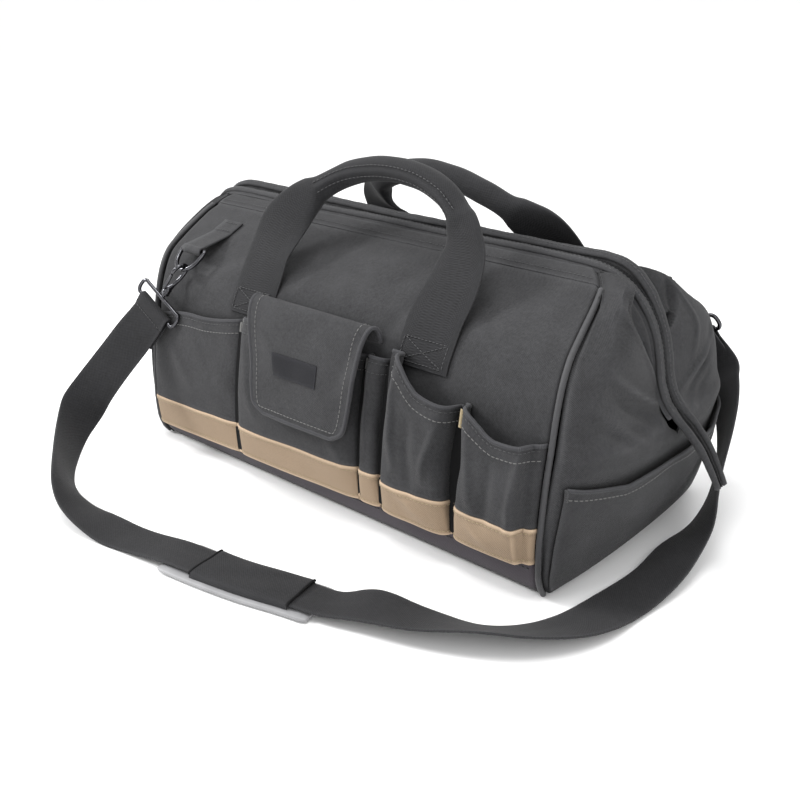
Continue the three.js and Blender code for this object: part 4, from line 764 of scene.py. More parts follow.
# ------------------------------------------------------------------ ends
for sx, where in [(1, "right"), (-1, "left")]:
    # the right end is near the camera, so its grid is finer
    END_H = np.unique(np.concatenate([np.linspace(0, 108, 46 if sx > 0 else 24), np.linspace(108, 223, 70 if sx > 0 else 36)]))
    END_T = np.linspace(0, 1, 101 if sx > 0 else 51)
    pts, faces_, uvs, index = [], [], [], {}
    rowsP = {}
    for sy in (-1, 1):
        H = END_H[:, None] + 0 * END_T[None]
        S0 = end_start(H)
        S = S0 + (1 - S0) * END_T[None]
        rowsP[sy] = (end(sx, sy, S, H), S)

    def vid(j, i, sy):
        joined = i == len(END_T) - 1 and END_H[j] <= 108
        key = (j, i, 0 if joined else sy)
        if key not in index:
            index[key] = len(pts)
            p = rowsP[sy][0][j, i]
            pts.append(p)
            uvs.append((sy * (1 - rowsP[sy][1][j, i]) * 125, END_H[j]))
        return index[key]

    for j in range(len(END_H) - 1):
        for sy in (-1, 1):
            for i in range(len(END_T) - 1):
                a, b, c, d = vid(j, i, sy), vid(j, i + 1, sy), vid(j + 1, i, sy), vid(j + 1, i + 1, sy)
                faces_.append([a, b, d, c] if sx * sy < 0 else [a, c, d, b])
    p, f, U = thicken(np.array(pts), np.array(faces_), 0, -2.2, np.array(uvs))
    make(f"{where}_end_cloth", p, f, CANVAS, U, slot="canvas", nodes=[f"{where}_end"])

    # pocket over the lower half of the end
    us = [(-1, 0.05 + 0.95 * t) for t in np.linspace(0, 1, 50)] + [(1, 0.05 + 0.95 * t) for t in np.linspace(1, 0, 50)[1:]]
    sy = np.array([a for a, _ in us], float)[None]
    s = np.array([b for _, b in us])[None]
    top = 97 - 9 * np.minimum(1, 2.2 * s)
    r = np.linspace(0, 1, 50)[:, None]
    h = 8 + (top - 8) * r
    y = sy * (1 - s) * 120
    depth = 2.4 + 5.5 * r * np.sin(np.minimum(s * 1.6, 1) * math.pi / 2)
    wob = smooth(0, 0.15, s) * smooth(0.05, 0.3, r)
    depth = depth + wob * (waves(y, h, 41 if sx > 0 else 42, 55, 0.7) + ridge(y, h, -95, 80, -20, 45, 7, 2.2) + ridge(y, h, 95, 84, 15, 50, 7, 2.0)
                           + ridge(y, h, -80, 30, 0, 18, 6, 1.6) - ridge(y, h, -60, 92, 30, 70, 8, 1.8) + ridge(y, h, 70, 35, 10, 20, 6, 1.5))
    base = np.where(sy[..., None] < 0, end_base(sx, -1, s, h), end_base(sx, 1, s, h))
    n = np.where(sy[..., None] < 0, end_normal(sx, -1, s, h), end_normal(sx, 1, s, h))
    mid = (s > 0.985) + 0 * h > 0
    n = np.where(mid[..., None], unit(n * np.array([1, 0, 1])), n)
    P = base + n * depth[..., None]
    sheet(f"{where}_end_pocket_cloth", P, CANVAS, 0, -1.8, sx < 0, slot="canvas", nodes=[f"{where}_end_pocket"])
    lipP = P[-1] - n[-1] * 0.9
    p, f, U = tube(lipP, 1.5, 12, hint=(0, 0, 1), flat=0.95)
    make(f"{where}_end_pocket_binding", p, f, BIND, U, slot="canvas", sharp=0)
    for q, kind in [(-5, "light")]:
        stitch(P[q], n[q], kind, pitch=4.2, long=3.0)
    for e_ in (0, -1):
        bar_tack(P[-3][e_] + n[-3][e_] * 0.6, (0, 0, 1), n[-3][e_], 10, 2.6, "dark")

# piping
for sx, sy, where in [(1, -1, "front_right"), (-1, -1, "front_left"), (1, 1, "back_right"), (-1, 1, "back_left")]:
    h = np.linspace(2.4, 215, 120)
    P = vec3(reach(sx, h) * sx, sy * level(h, "yf"), level(h, "zf"))
    P, s = resample(P, 1.6)
    p, f, U = tube(P, PIPING_R * (1 + 0.02 * np.sin(s * 0.9)), 16, hint=(1, 0, 0))
    make(f"piping_{where}_cord", p, f, PIPE, U, slot="piping", nodes=[f"piping_{where}"], sharp=0)

# ------------------------------------------------------------------ mouth
T = np.linspace(0, 30, 620)
mx, mz, my, mr, mu = [along(MOUTH[c], T) for c in ("x", "z", "y", "r", "up")]
for side, where in [(-1, "front"), (1, "back")]:
    path = vec3(mx, side * my, mz + (mu if side > 0 else 0))
    path, s = resample(path, 2.0)
    tail = smooth(258, 276, np.abs(path[:, 0]))
    rr = np.interp(path[:, 0], [-305, -285, -250, 250, 285, 302], [2.5, 2.9, 3.0, 3.0, 2.9, 2.5])
    rr = rr + 0.15 * np.sin(s * 0.11) + 0.1 * np.sin(s * 0.37 + 1)
    wide = rr + 1.9 * (1 - tail)
    path = path + vec3(0, -side * 1.3 * (1 - tail) + 0.25 * np.sin(s * 0.05), 0.35 * np.sin(s * 0.041 + side))
    p, f, U = tube(path, rr, 20, hint=(0, 0, 1), r2=wide)
    make(f"mouth_rim_{where}_roll", p, f, CANVAS, U, slot="canvas", nodes=[f"mouth_rim_{where}"], sharp=0)
    dd_ = unit(np.gradient(path, axis=0))
    nm = unit(vec3(-dd_[:, 2], 0 * s, dd_[:, 0]))
    for w in (0.62, -0.55):
        e_ = unit(nm * 0.8 + np.array([0, side * w, 0]))
        on = np.abs(path[:, 0]) < 262
        stitch((path + nm * rr[:, None] * 0.86 + vec3(0, side * w * wide * 0.82, 0))[on], e_[on], "dark", pitch=3.8, long=2.7, r=0.34, lift=0)
    # cloth from under the rim down to the band and the ends
    up = np.interp(path[:, 0], mx[::8], mu[::8]) if side > 0 else 0 * s
    on = np.abs(path[:, 0]) < 263
    k = np.array([0.0, 0.35, 0.7, 1.0])[:, None]
    low_ = vec3(0 * s, side * 4.6, 0 * s) - nm * (3.4 + up * 0.9)[:, None]
    P = (path[None] + vec3(0 * s, side * 1.5, 0 * s) + low_[None] * k[..., None])[:, on]
    P = P + np.array([0, side * 0.8, 0]) * np.sin(k * math.pi)[..., None]
    sheet(f"mouth_skirt_{where}", P[::-1], CANVAS, 0.7, -0.7, side > 0, slot="canvas")
    if side > 0:
        # inner face of the rear rim, down to the zip
        k = np.linspace(0, 1, 6)[:, None]
        y0 = path[:, 1] - wide * 0.55
        yk = y0[None] + (1.5 - y0)[None] * k
        drop = 0.3 + (up + 0.4)[None] * k + 0.5 * np.sin(k * math.pi)
        P = np.stack([path[None, :, 0] + 0 * k, yk, path[None, :, 2] + 0 * k], -1) - nm[None] * drop[..., None]
        sheet("mouth_lining_back", P[:, on], CANVAS, 0.6, -0.6, True, slot="canvas")

path, s = resample(vec3(mx, 0, mz), 0.78)
half = np.interp(path[:, 0], [-305, -285, -250, 250, 285, 302], [2.2, 3.2, 4.2, 4.2, 3.2, 2.2])
d = unit(np.gradient(path, axis=0))
up = vec3(-d[:, 2], 0, d[:, 0])
tooth = 0.5 + 0.5 * np.sign(np.sin(s * 2 * math.pi / 2.5))
prof = [(-1, -0.6), (-1, 0.35), (-0.55, 0.45), (-0.42, 0.6), (-0.3, 1.15), (0, 1.25), (0.3, 1.15), (0.42, 0.6), (0.55, 0.45), (1, 0.35), (1, -0.6), (0, -0.8)]
rings = []
for a, b in prof:
    lift = b + (0.55 * tooth if abs(a) <= 0.3 and b > 1 else 0)
    rings.append(path + vec3(0, a * half, 0) + up * (np.ones(len(path)) * lift)[:, None])
p, f, U = loft(np.stack(rings, 1))
make("zip_chain", p, f, ZIPC, U, slot="zip", nodes=["zip"], sharp=40)

# ------------------------------------------------------------------ front pockets
FOLDS = {
    "pocket_a": [(0.1, 0.9, 0.55, 0.35, 0.05, 1.4), (0.5, 0.95, 0.8, 0.5, 0.05, -1.2), (0.2, 0.35, 0.75, 0.2, 0.05, 1.0)],
    "pocket_b": [(0.04, 0.9, 0.2, 0.3, 0.04, 1.4), (0.75, 0.5, 0.97, 0.2, 0.04, 1.3), (0.1, 0.2, 0.6, 0.32, 0.05, 1.2), (0.88, 0.9, 0.93, 0.4, 0.03, -1.4)],
    "pen_sleeve": [(0.2, 0.9, 0.5, 0.4, 0.1, 0.8)],
    "pocket_c": [(0.1, 0.95, 0.3, 0.35, 0.07, 2.6), (0.45, 0.85, 0.55, 0.25, 0.09, -2.2), (0.9, 0.9, 0.7, 0.4, 0.06, 2.0), (0.15, 0.3, 0.8, 0.12, 0.06, 1.5)],
    "pocket_d": [(0.12, 0.9, 0.3, 0.35, 0.08, 2.4), (0.5, 0.9, 0.45, 0.3, 0.08, -2.2), (0.85, 0.95, 0.78, 0.3, 0.06, 2.6), (0.2, 0.28, 0.6, 0.14, 0.06, 1.4)],
}


# how far each side is drawn in, mm at the base, the middle and the lip: left, then right
DRAWN = {"pocket_a": (0, 0, 0, 1, 2, 1), "pocket_b": (0.5, 2, 2, 0.5, 3, 3), "pen_sleeve": (0.3, 1.5, 1.5, 0.5, 2, 2),
         "pocket_c": (1.2, 7, 11, 1, 4.5, 2), "pocket_d": (1.2, 7.5, 3, 0, 0, 0)}


def inset(k, t, r):
    """Share of the pocket's width drawn in at its left and right side seam."""
    a = DRAWN[k[0]]
    w = k[3] - k[2]
    return tuple(np.interp(r, [0, 0.22, 0.62, 1.0], [a[i], a[i] + 0.25 * (a[i + 1] - a[i]), a[i + 1], a[i + 2]]) / w for i in (0, 3))


def pocket_depth(k, t, r):
    name, tan, x0, x1, bulge, l0, lm, l1, q, lift, fold = k
    left, right = inset(k, t, r)
    t = np.clip((t - left) / (1 - left - right), 0, 1)
    side = (1 - np.abs(2 * t - 1) ** q) ** 0.5
    gusset = np.where(t <= fold, 1, np.maximum(0.3, 1 - smooth(fold, fold + 0.055, t) * 0.7))
    fill = 0.25 + 0.75 * np.sin(np.minimum(r / 0.62, 1) * math.pi / 2)
    d = 2.3 + lift * r**3 * (1 - t) + bulge * side * gusset * fill
    soft = smooth(0, 0.1, t) * smooth(0, 0.1, 1 - t) * (0.35 + 0.65 * smooth(0, 0.25, r))
    x, h = x0 + (x1 - x0) * t, r * 120
    d = d + soft * waves(x, h, 60 + int(x0) % 17, 48, 0.35 + bulge * 0.018)
    for a in FOLDS[name]:
        d = d + soft * ridge(t, r, *a[:4], a[4], a[5] * (0.4 + bulge / 20))
    # the lip's bound edge draws in a little
    return d - 0.9 * smooth(0.93, 1.0, r) * (bulge > 8)


LIPS = {"pocket_c": ([0, 0.12, 0.28, 0.45, 0.58, 0.75, 0.91, 1], [157, 157, 152, 142, 136, 133, 132, 133]),
        "pocket_d": ([0, 0.1, 0.22, 0.33, 0.44, 0.56, 0.75, 1], [135, 135, 132, 127.5, 122.8, 120.5, 121, 124.5])}
LIP_TABLES = {n: table("t h", list(zip(*v))) for n, v in LIPS.items()}


def lip_of(k, t):
    if k[0] in LIP_TABLES:
        return at(LIP_TABLES[k[0]], "t", t, "h")
    l0, lm, l1 = k[5], k[6], k[7]
    return np.where(t < 0.5, l0 + (lm - l0) * np.sin(t * math.pi), l1 + (lm - l1) * np.sin(t * math.pi))


def spot(k, t, h):
    x = k[2] + (k[3] - k[2]) * t
    r = (h - BASE_WRAP) / (lip_of(k, t) - BASE_WRAP)
    return off(-1, x, h, pocket_depth(k, t, np.clip(r, 0, 1)))


for k in POCKETS:
    name, tan, x0, x1 = k[:4]
    nt = int((x1 - x0) * 0.9) + 24
    c = np.linspace(0, 1, nt)
    t = (c + 0.5 - 0.5 * np.cos(c * math.pi)) / 2
    x = (x0 + (x1 - x0) * t)[None]
    low = TAN_TOP - 1.0 + RISE * x
    v = np.linspace(0, 1, 46)[:, None]
    tt = t[None] + 0 * v
    h = low + (lip_of(k, tt) - low) * v
    P = spot(k, tt, h)
    n = normals(P.reshape(-1, 3), grid_faces(*P.shape[:2])).reshape(P.shape)
    if n[..., 1].mean() > 0:
        n = -n
    # turned hem above the tan band and below the lip
    height = (h - low)
    hem = 0.5 * np.exp(-((height - 3.2) / 1.6) ** 2)
    P = P + n * (hem - 0.55 * (1 - smooth(0, 2.5, height)))[..., None]
    obj = sheet(f"{name}_cloth", P, CANVAS, 0, -1.6, False, slot="canvas", nodes=[name])
    # bound lip
    lp = P[-1] - n[-1] * 0.8
    p, f, U = tube(resample(lp, 1.5)[0], 1.75, 12, hint=(0, 0, 1), flat=0.92)
    make(f"{name}_binding", p, f, BIND, U, slot="canvas", sharp=0)
    keep = slice(2, nt - 2)
    seam = lambda g: spot(k, t, lip_of(k, t) - g)[keep]
    stitch(seam(10.5), n[-8][keep], "light" if name in ("pocket_a", "pocket_c", "pocket_d") else "dark", pitch=4.0, long=2.9, r=0.36)
    stitch(seam(3.4), n[-3][keep], "dark", pitch=4.0, long=2.9, r=0.36)
    # tan band with turned edges
    vv = np.linspace(0, 1, 26)[:, None]
    hh = BASE_WRAP + 1 + RISE * x + (TAN_TOP - BASE_WRAP - 1) * vv
    tt = t[None] + 0 * vv
    P = spot(k, tt, hh)
    n = normals(P.reshape(-1, 3), grid_faces(*P.shape[:2])).reshape(P.shape)
    if n[..., 1].mean() > 0:
        n = -n
    rim = np.exp(-((vv - 0.06) / 0.06) ** 2) + np.exp(-((vv - 0.94) / 0.06) ** 2)
    P = P + n * ((0.75 * rim + 0.35) * np.ones_like(tt))[..., None]
    sheet(f"{tan}_cloth", P, TAN, 0, -1.9, False, slot="tan", nodes=[tan])
    for q in (3, 22):
        stitch(P[q][keep], n[q][keep], "tan", pitch=3.6, long=2.6, r=0.34)
    # bar tacks where the lip is held down
    if name in ("pocket_c", "pocket_d", "pocket_b", "pocket_a"):
        for i in ((1, nt - 2)):
            if (name, i) in (("pocket_c", nt - 2), ("pocket_d", nt - 2), ("pocket_c", 1)):
                continue
            g = inset(k, 0, 1.0)[0] + 3.6 / (x1 - x0) if (name, i) == ("pocket_d", 1) else t[i]
            q = spot(k, np.array(g), np.array(lip_of(k, g) - 6.5)) + face_out(-1, lip_of(k, g) - 5) * 1.4 if name == "pocket_d" else off(-1, x0 + (x1 - x0) * t[i], lip_of(k, t[i]) - 5, 3.2)
            bar_tack(q, (0, 0, 1), face_out(-1, lip_of(k, t[i]) - 5), 14 if name == "pocket_d" else 9, 2.6, "tan" if name in ("pocket_c", "pocket_d") else "light")

# painted shade: near-black sheets laid in the gaps between neighbouring pockets, standing in for the shade there
for (ka, kb) in zip(POCKETS[:-1], POCKETS[1:]):
    wa, wb = ka[3] - ka[2], kb[3] - kb[2]
    rr_ = np.linspace(0.03, 0.97, 60)[:, None]
    ha = BASE_WRAP + (lip_of(ka, 1.0) - BASE_WRAP) * rr_
    hb = np.minimum(ha, lip_of(kb, 0.0) - 2)
    xa = ka[3] - np.maximum(inset(ka, 1, rr_)[1] * wa - 0.3, 0) - 1.5
    xb = kb[2] + np.maximum(inset(kb, 0, rr_)[0] * wb - 0.3, 0) + 1.5
    kk_ = np.linspace(0, 1, 9)[None]
    P = off(-1, xa + (xb - xa) * kk_, np.minimum(ha, hb) + 0 * kk_ + RISE * ka[3] * (1 - rr_), 3.6 - 0.6 * np.sin(kk_ * math.pi) + 0 * rr_)
    sheet(f"painted_shade_sheet_{ka[0]}_{kb[0]}", P, SHADE_CLOTH, 0.3, -0.5, False, slot="canvas")

# ------------------------------------------------------------------ flap
i = np.linspace(0, len(FLAP["h"]) - 1, 74)[::-1][:, None]
t = np.linspace(0, 1, 110)[None]
fh, fd, fx0, fx1 = [along(FLAP[c], i[:, 0])[:, None] for c in ("h", "d", "x0", "x1")]
x = fx0 + (fx1 - fx0) * t
rel = 0.9 * np.sin(t * math.pi) + waves(x, fh + 0 * t, 77, 60, 0.45) \
    + ridge(x, fh + 0 * t, -60, 150, -10, 100, 8, 1.2) + ridge(x, fh + 0 * t, 60, 140, 20, 95, 8, 1.3) - ridge(x, fh + 0 * t, 62, 172, 30, 120, 6, 1.2)
rel = rel * smooth(0, 3, i)
P = off(-1, x, fh + 0 * t, fd + 0 * t + rel)
n = normals(P.reshape(-1, 3), grid_faces(*P.shape[:2])).reshape(P.shape)
if n[..., 1].mean() > 0:
    n = -n
sheet("pocket_flap_cloth", P, CANVAS, 1.0, -1.0, False, slot="canvas", nodes=["pocket_flap"])
edge = np.concatenate([P[::-1, 0][2:], P[0, 1:-1], P[:-2, -1]])
edge_n = np.concatenate([n[::-1, 0][2:], n[0, 1:-1], n[:-2, -1]])
e2, _ = resample(edge, 1.5)
p, f, U = tube(e2, 1.9, 12, hint=(0, -1, 0))
make("pocket_flap_binding", p, f, BIND, U, slot="canvas", sharp=0)
ins = np.concatenate([P[8:78, 7][::-1], P[7, 8:-8], P[8:78, -8]])
ins_n = np.concatenate([n[8:78, 7][::-1], n[7, 8:-8], n[8:78, -8]])
stitch(ins + ins_n * 1.0, ins_n, "light", pitch=4.0, long=2.9, r=0.36)
# bare woven patch in the middle of the flap
pi = np.where((fh[:, 0] > 112) & (fh[:, 0] < 135))[0]
pj = np.where((t[0] > 0.25) & (t[0] < 0.68))[0]
Q = P[pi[0]:pi[-1] + 1, pj[0]:pj[-1] + 1] + n[pi[0]:pi[-1] + 1, pj[0]:pj[-1] + 1] * 1.5
sheet("flap_patch", Q, PATCH, 0.3, -0.4, False, slot="patch")

# ------------------------------------------------------------------ handles
for rows_, side, where in [(HANDLE_FRONT, 1, "front"), (HANDLE_REAR, -1, "rear")]:
    cols = []
    for (x, h, w, tk, nn, ax, az, y, z) in rows_:
        if h is not None:
            q = off(-1, np.array(float(x)), np.array(float(h)), 1.7)
            y, z = q[1], q[2]
        cols.append((x, y, z, w, tk, nn, ax, az))
    T = np.linspace(0, len(cols) - 1, 330)
    C = along(cols, T)
    c = C[:, :3]
    d = unit(np.gradient(c, axis=0))
    a = vec3(C[:, 6], 0, C[:, 7])
    a = unit(a - d * (a * d).sum(1, keepdims=True))
    b = np.cross(d, a)
    m = 40
    ang = np.arange(m) / m * 2 * math.pi
    ca, sa = np.cos(ang), np.sin(ang)
    pw = 2 / C[:, 5][:, None]
    k1 = np.sign(ca) * np.abs(ca)[None] ** pw
    k2 = np.sign(sa) * np.abs(sa)[None] ** pw
    grip = smooth(8, 11, C[:, 4])
    # webbing rolled round the grip: a sewn seam stands along one side
    seam = 1.1 * grip[:, None] * np.exp(-(((ang[None] - math.pi * 1.5 + math.pi) % (2 * math.pi) - math.pi) / 0.2) ** 2)
    L = np.concatenate([[0], np.cumsum(np.linalg.norm(np.diff(c, axis=0), axis=1))])
    rip = 0.22 * grip[:, None] * np.sin(L[:, None] / 5.0 + 2 * np.sin(ang)[None]) + 0.3 * grip[:, None] * np.sin(L[:, None] / 17.0 + ang[None])
    sel = 0.25 * (1 - grip)[:, None] * (np.abs(ca)[None] > 0.97)
    R1 = C[:, 3][:, None] * (1 - 0.13 * grip[:, None]) + rip * 0.5
    R2 = C[:, 4][:, None] * (1 - 0.13 * grip[:, None]) + rip * 0.5
    rings = c[:, None] + a[:, None] * (R1 * k1)[..., None] + b[:, None] * (R2 * k2)[..., None]
    outd = a[:, None] * (k1 * 1.0)[..., None] + b[:, None] * (k2 * 1.0)[..., None]
    rings = rings + unit(outd) * (seam + sel)[..., None]
    uv = np.stack([np.repeat(L, m), np.tile(np.arange(m) * (75.0 / m), len(L))], -1)
    if side < 0:
        rings = rings * np.array([1, -1, 1])
    p, f, U = loft(rings, uv)
    obj = make(f"handle_{where}_webbing", p, f, WEB, U, slot="webbing", nodes=[f"handle_{where}"], sharp=45)
    flipy = np.array([1, side, 1])
    g = grip > 0.5
    for da in (0.42, -0.42):
        q = 1.5 * math.pi + da
        pos = c + a * (C[:, 3] * 0.9 * math.cos(q))[:, None] + b * (C[:, 4] * 0.9 * math.sin(q))[:, None]
        od = unit(a * math.cos(q) + b * math.sin(q))
        stitch((pos * flipy)[g], (od * flipy)[g], "dark", pitch=4.2, long=3.0, r=0.42, lift=0.45)
    # stitched boxes on the sewn parts
    for x0, sgn in [(cols[0][0], 1), (cols[-1][0], -1)]:
        hs = np.linspace(153, 169.5, 12)
        xs = np.linspace(x0 - 21, x0 + 21, 24)
        o = lambda x, h: off(-1, x, h, 2.85) * np.array([1, side, 1])
        no = face_out(-1 if side > 0 else 1, np.array([160.0]))[0]
        for hq in (153, 169.5):
            stitch(o(xs, np.full_like(xs, hq)), no, "dark", pitch=3.6, long=2.6, r=0.4)
        for xq in (x0 - 21, x0 + 21):
            stitch(o(np.full_like(hs, xq), hs), no, "dark", pitch=3.6, long=2.6, r=0.4)
        u_ = np.linspace(0, 1, 14)
        stitch(o(x0 - 21 + 42 * u_, 153 + 16.5 * u_), no, "dark", pitch=3.6, long=2.6, r=0.4)
        stitch(o(x0 + 21 - 42 * u_, 153 + 16.5 * u_), no, "dark", pitch=3.6, long=2.6, r=0.4)

# ------------------------------------------------------------------ rings, hooks and the shoulder strap
RING_LOW = np.array([-184.0, -114, 176])
K = unit([0.51, 0.31, 0.8])
BAR = np.array([0.84, 0.02, -0.54])
BAR = unit(BAR - K * (BAR @ K))
OUTW = unit(np.array([0, -1, 0]) + K * K[1])
SIDE = np.cross(K, OUTW)
ORIGIN = RING_LOW - K * HOOK["wireAt"]
RD = unit([0, -0.734, -0.679])
RT = RING_LOW - RD * RING_DROP


def in_hook(m, l, kk):
    return ORIGIN + OUTW * m + SIDE * l + K * kk


def turned(P, turn):
    return P * np.array([-1, -1, 1]) if turn < 0 else P


def curve(points, radii, n, closed=False):
    pts = np.array(points, float)
    if closed:
        pts = np.concatenate([pts, pts[:3]])
        t = np.linspace(1, len(pts) - 2, n, endpoint=False)
        return along(pts, t), np.full(n, radii if np.isscalar(radii) else radii[0])
    t = np.linspace(0, len(pts) - 1, n)
    return along(pts, t), np.interp(t, range(len(pts)), radii)


for turn, where in [(1, "front"), (-1, "rear")]:
    ring = [RT + np.array([-RING_HALF + i / 6 * 2 * RING_HALF, 0, 0]) for i in range(7)]
    for i in range(1, 14):
        a = i / 14 * math.pi
        ring.append(RT + np.array([RING_HALF * math.cos(a), 0, 0]) + RD * (1.5 + (RING_DROP - 1.5) * math.sin(a) ** 0.8))
    path, _ = curve(ring, RING_WIRE, 160, True)
    p, f, U = tube(turned(path, turn), RING_WIRE, 20, closed=True)
    make(f"d_ring_{where}_wire", p, f, METAL, U, slot="metal", nodes=[f"d_ring_{where}"], sharp=0)
    # webbing tab round the ring's bar
    R = RING_WIRE + 1.4
    tab = [(RT[1] - R * math.sin(-0.35 * math.pi + i / 20 * 1.45 * math.pi), RT[2] - R * math.cos(-0.35 * math.pi + i / 20 * 1.45 * math.pi)) for i in range(21)]
    path = [np.array([RT[0], y, z]) for y, z in tab]
    for h, dd in [(198, 1.8), (200, 1.8), (202, 1.7), (204, 1.7), (206, 1.7)]:
        q = off(-1, np.array(RT[0]), np.array(h), dd)
        path.append(np.array([RT[0], q[1], q[2]]))
    path, s = resample(along(path, np.linspace(0, len(path) - 1, 160)), 0.9)
    dd_ = unit(np.gradient(path, axis=0))
    nn = unit(np.cross(dd_, np.array([1.0, 0, 0])))
    sec = [(-1, -0.3), (-0.97, -0.9), (-0.5, -0.8), (0, -0.8), (0.5, -0.8), (0.97, -0.9), (1, -0.3), (1, 0.3), (0.97, 0.9), (0.5, 0.8), (0, 0.8), (-0.5, 0.8), (-0.97, 0.9), (-1, 0.3)]
    rings = np.stack([path + np.array([TAB_W / 2 * q, 0, 0]) + nn * w for q, w in sec], 1)
    p, f, U = loft(turned(rings, turn))
    make(f"ring_tab_{where}_webbing", p, f, CANVAS, U, slot="webbing", nodes=[f"ring_tab_{where}"], sharp=60)
    xs = np.linspace(RT[0] - 10, RT[0] + 10, 12)
    for hq in (200, 204.5):
        q = off(-1, xs, np.full_like(xs, hq), 2.7)
        stitch(turned(q, turn), turned(face_out(-1, np.array([float(hq)]))[0], turn), "dark", pitch=3.4, long=2.5, r=0.4)
    B = HOOK["bowl"]
    pts = [(0, 0, HOOK["barTop"] + HOOK["loopWire"] + 0.5), (0, 0, -27.4), (0, 0, -27), (0, 0, -21.5), (-0.6, 0, -20), (-3.4, 0, -16), (-5.9, 0, -11),
           (-B, 0, -4), (-B, 0, 1), (-B * 0.86, 0, 4.6), (-B * 0.5, 0, 7.2), (0, 0, 8), (B * 0.5, 0, 7.2), (B * 0.86, 0, 4.6), (B, 0, 1), (B, 0, -1.6)]
    rad = [1.9, 1.9, 4.2, 4.2, 3.4, 2.1, 1.8, 1.8, 1.8, 1.8, 1.8, 1.8, 1.8, 1.8, 1.7, 1.45]
    t = np.linspace(0, len(pts) - 1, 240)
    path = along(np.array([in_hook(*q) for q in pts]), t)
    rr = np.interp(t, range(len(pts)), rad)
    rr = rr + 0.25 * (np.cos((t - 2.5) * 12) - 1) * ((t > 2.1) & (t < 2.9))
    p, f, U = tube(turned(path, turn), rr, 22)
    make(f"hook_{where}_body", p, f, METAL, U, slot="metal", nodes=[f"hook_{where}"], sharp=35)
    gp = [in_hook(6.1, 0, HOOK["pivot"] - 1.5), in_hook(6.2, 0, HOOK["pivot"] + 2), in_hook(6.9, 0, -8), in_hook(B, 0, -3.6)]
    path, rr = curve(gp, [1.2, 1.45, 1.4, 1.35], 60)
    p, f, U = tube(turned(path, turn), rr, 18)
    make(f"hook_gate_{where}_lever", p, f, METAL, U, body=f"gate_{where}", slot="metal", nodes=[f"hook_gate_{where}"], sharp=35)
    mid, hf, Lh = (HOOK["barTop"] + HOOK["barLow"]) / 2, (HOOK["barTop"] - HOOK["barLow"]) / 2, HOOK["loopHalf"]
    lp = []
    for i in range(4):
        lp.append((-Lh + 3 + i / 3 * (2 * Lh - 6), HOOK["barTop"]))
    for i in range(4):
        a = i / 3 * math.pi
        lp.append((Lh + 0.4 + 3 * math.sin(a), mid + hf * math.cos(a)))
    for i in range(4):
        lp.append((Lh - 3 - i / 3 * (2 * Lh - 6), HOOK["barLow"]))
    for i in range(4):
        a = i / 3 * math.pi
        lp.append((-Lh - 0.4 - 3 * math.sin(a), mid - hf * math.cos(a)))
    path, _ = curve([ORIGIN + BAR * q + K * w for q, w in lp], HOOK["loopWire"], 180, True)
    p, f, U = tube(turned(path, turn), HOOK["loopWire"], 18, closed=True)
    make(f"hook_loop_{where}_wire", p, f, METAL, U, slot="metal", nodes=[f"hook_loop_{where}"], sharp=0)

FACE1 = unit(np.cross(BAR, K))
BARLOW = ORIGIN + K * HOOK["barLow"]


def strap_end(turn):
    R = HOOK["loopWire"] + 1.5
    seq = [(-1.9, -34), (-2.2, -17), (-2.7, -8)] + [(-R * math.cos(i / 6 * math.pi), R * math.sin(i / 6 * math.pi)) for i in range(7)] + [(2.1, -8), (1.7, -14)]
    out = []
    for n_, kk in seq:
        p = BARLOW + FACE1 * n_ + K * kk
        a = -BAR
        out.append(np.concatenate([turned(p, turn), turned(a, turn)]))
    return out


rows_ = strap_end(1)
steps = (len(STRAP) - 1) * 3
rows_ += [along(STRAP, np.array(i / 3)) for i in range(steps + 1)]
rows_ += strap_end(-1)[::-1]
rows_ = np.array(rows_)
t = np.linspace(0, len(rows_) - 1, 760)
C = along(rows_, t)
path = C[:, :3]
d = unit(np.gradient(path, axis=0))
a = unit(C[:, 3:] - d * (C[:, 3:] * d).sum(1, keepdims=True))
upv = np.cross(a, d)
low = path[:, 2] - STRAP_W / 2 * np.abs(a[:, 2])
path = path + vec3(0, 0, np.maximum(1.3 - low, 0))
L = np.concatenate([[0], np.cumsum(np.linalg.norm(np.diff(path, axis=0), axis=1))])
sec = []
for q in np.linspace(-1, 1, 17):
    sec.append((q, -1.0 + 0.12 * (abs(q) > 0.93)))
sec.append((1.02, 0.0))
for q in np.linspace(1, -1, 17):
    sec.append((q, 1.0 - 0.12 * (abs(q) > 0.93)))
sec.append((-1.02, 0.0))
free = smooth(60, 110, L) * smooth(60, 110, L[-1] - L)
narrow = 1 - 0.13 * smooth(-150, -60, path[:, 0]) * (1 - smooth(110, 160, path[:, 0])) * (path[:, 1] < -215)
rings = []
for q, w in sec:
    bend = free * (0.35 * np.sin(L / 37 + 1.7 * q) + 0.25 * np.sin(L / 14.0 + 3 * q)) * abs(q)
    rings.append(path + a * (STRAP_W / 2 * q * narrow)[:, None] + upv * (w + bend)[:, None])
rings = np.stack(rings, 1)
rings[..., 2] = np.maximum(rings[..., 2], 0.3)
m = len(sec)
uv = np.stack([np.repeat(L, m), np.tile(np.array([q * 20 for q, w in sec]), len(L))], -1)
p, f, U = loft(rings, uv)
strap = make("shoulder_strap_webbing", p, f, WEB, U, slot="webbing", nodes=["shoulder_strap"], sharp=60)
# stitched boxes near the two loops
for turn in (1, -1):
    for kk in (-10, -28):
        q = np.array([turned(BARLOW + FACE1 * 3.0 + K * kk + BAR * w, turn) for w in np.linspace(-17, 17, 16)])
        stitch(q, turned(FACE1, turn), "dark", pitch=3.4, long=2.6, r=0.4)


# pad under the strap and the sleeve over both
def pad_path(x0, x1, n, z):
    x = np.linspace(x0, x1, n)
    y = along([r[1] for r in STRAP], 8 + (x + 24) / 113 * 3)
    return vec3(x, y, z)


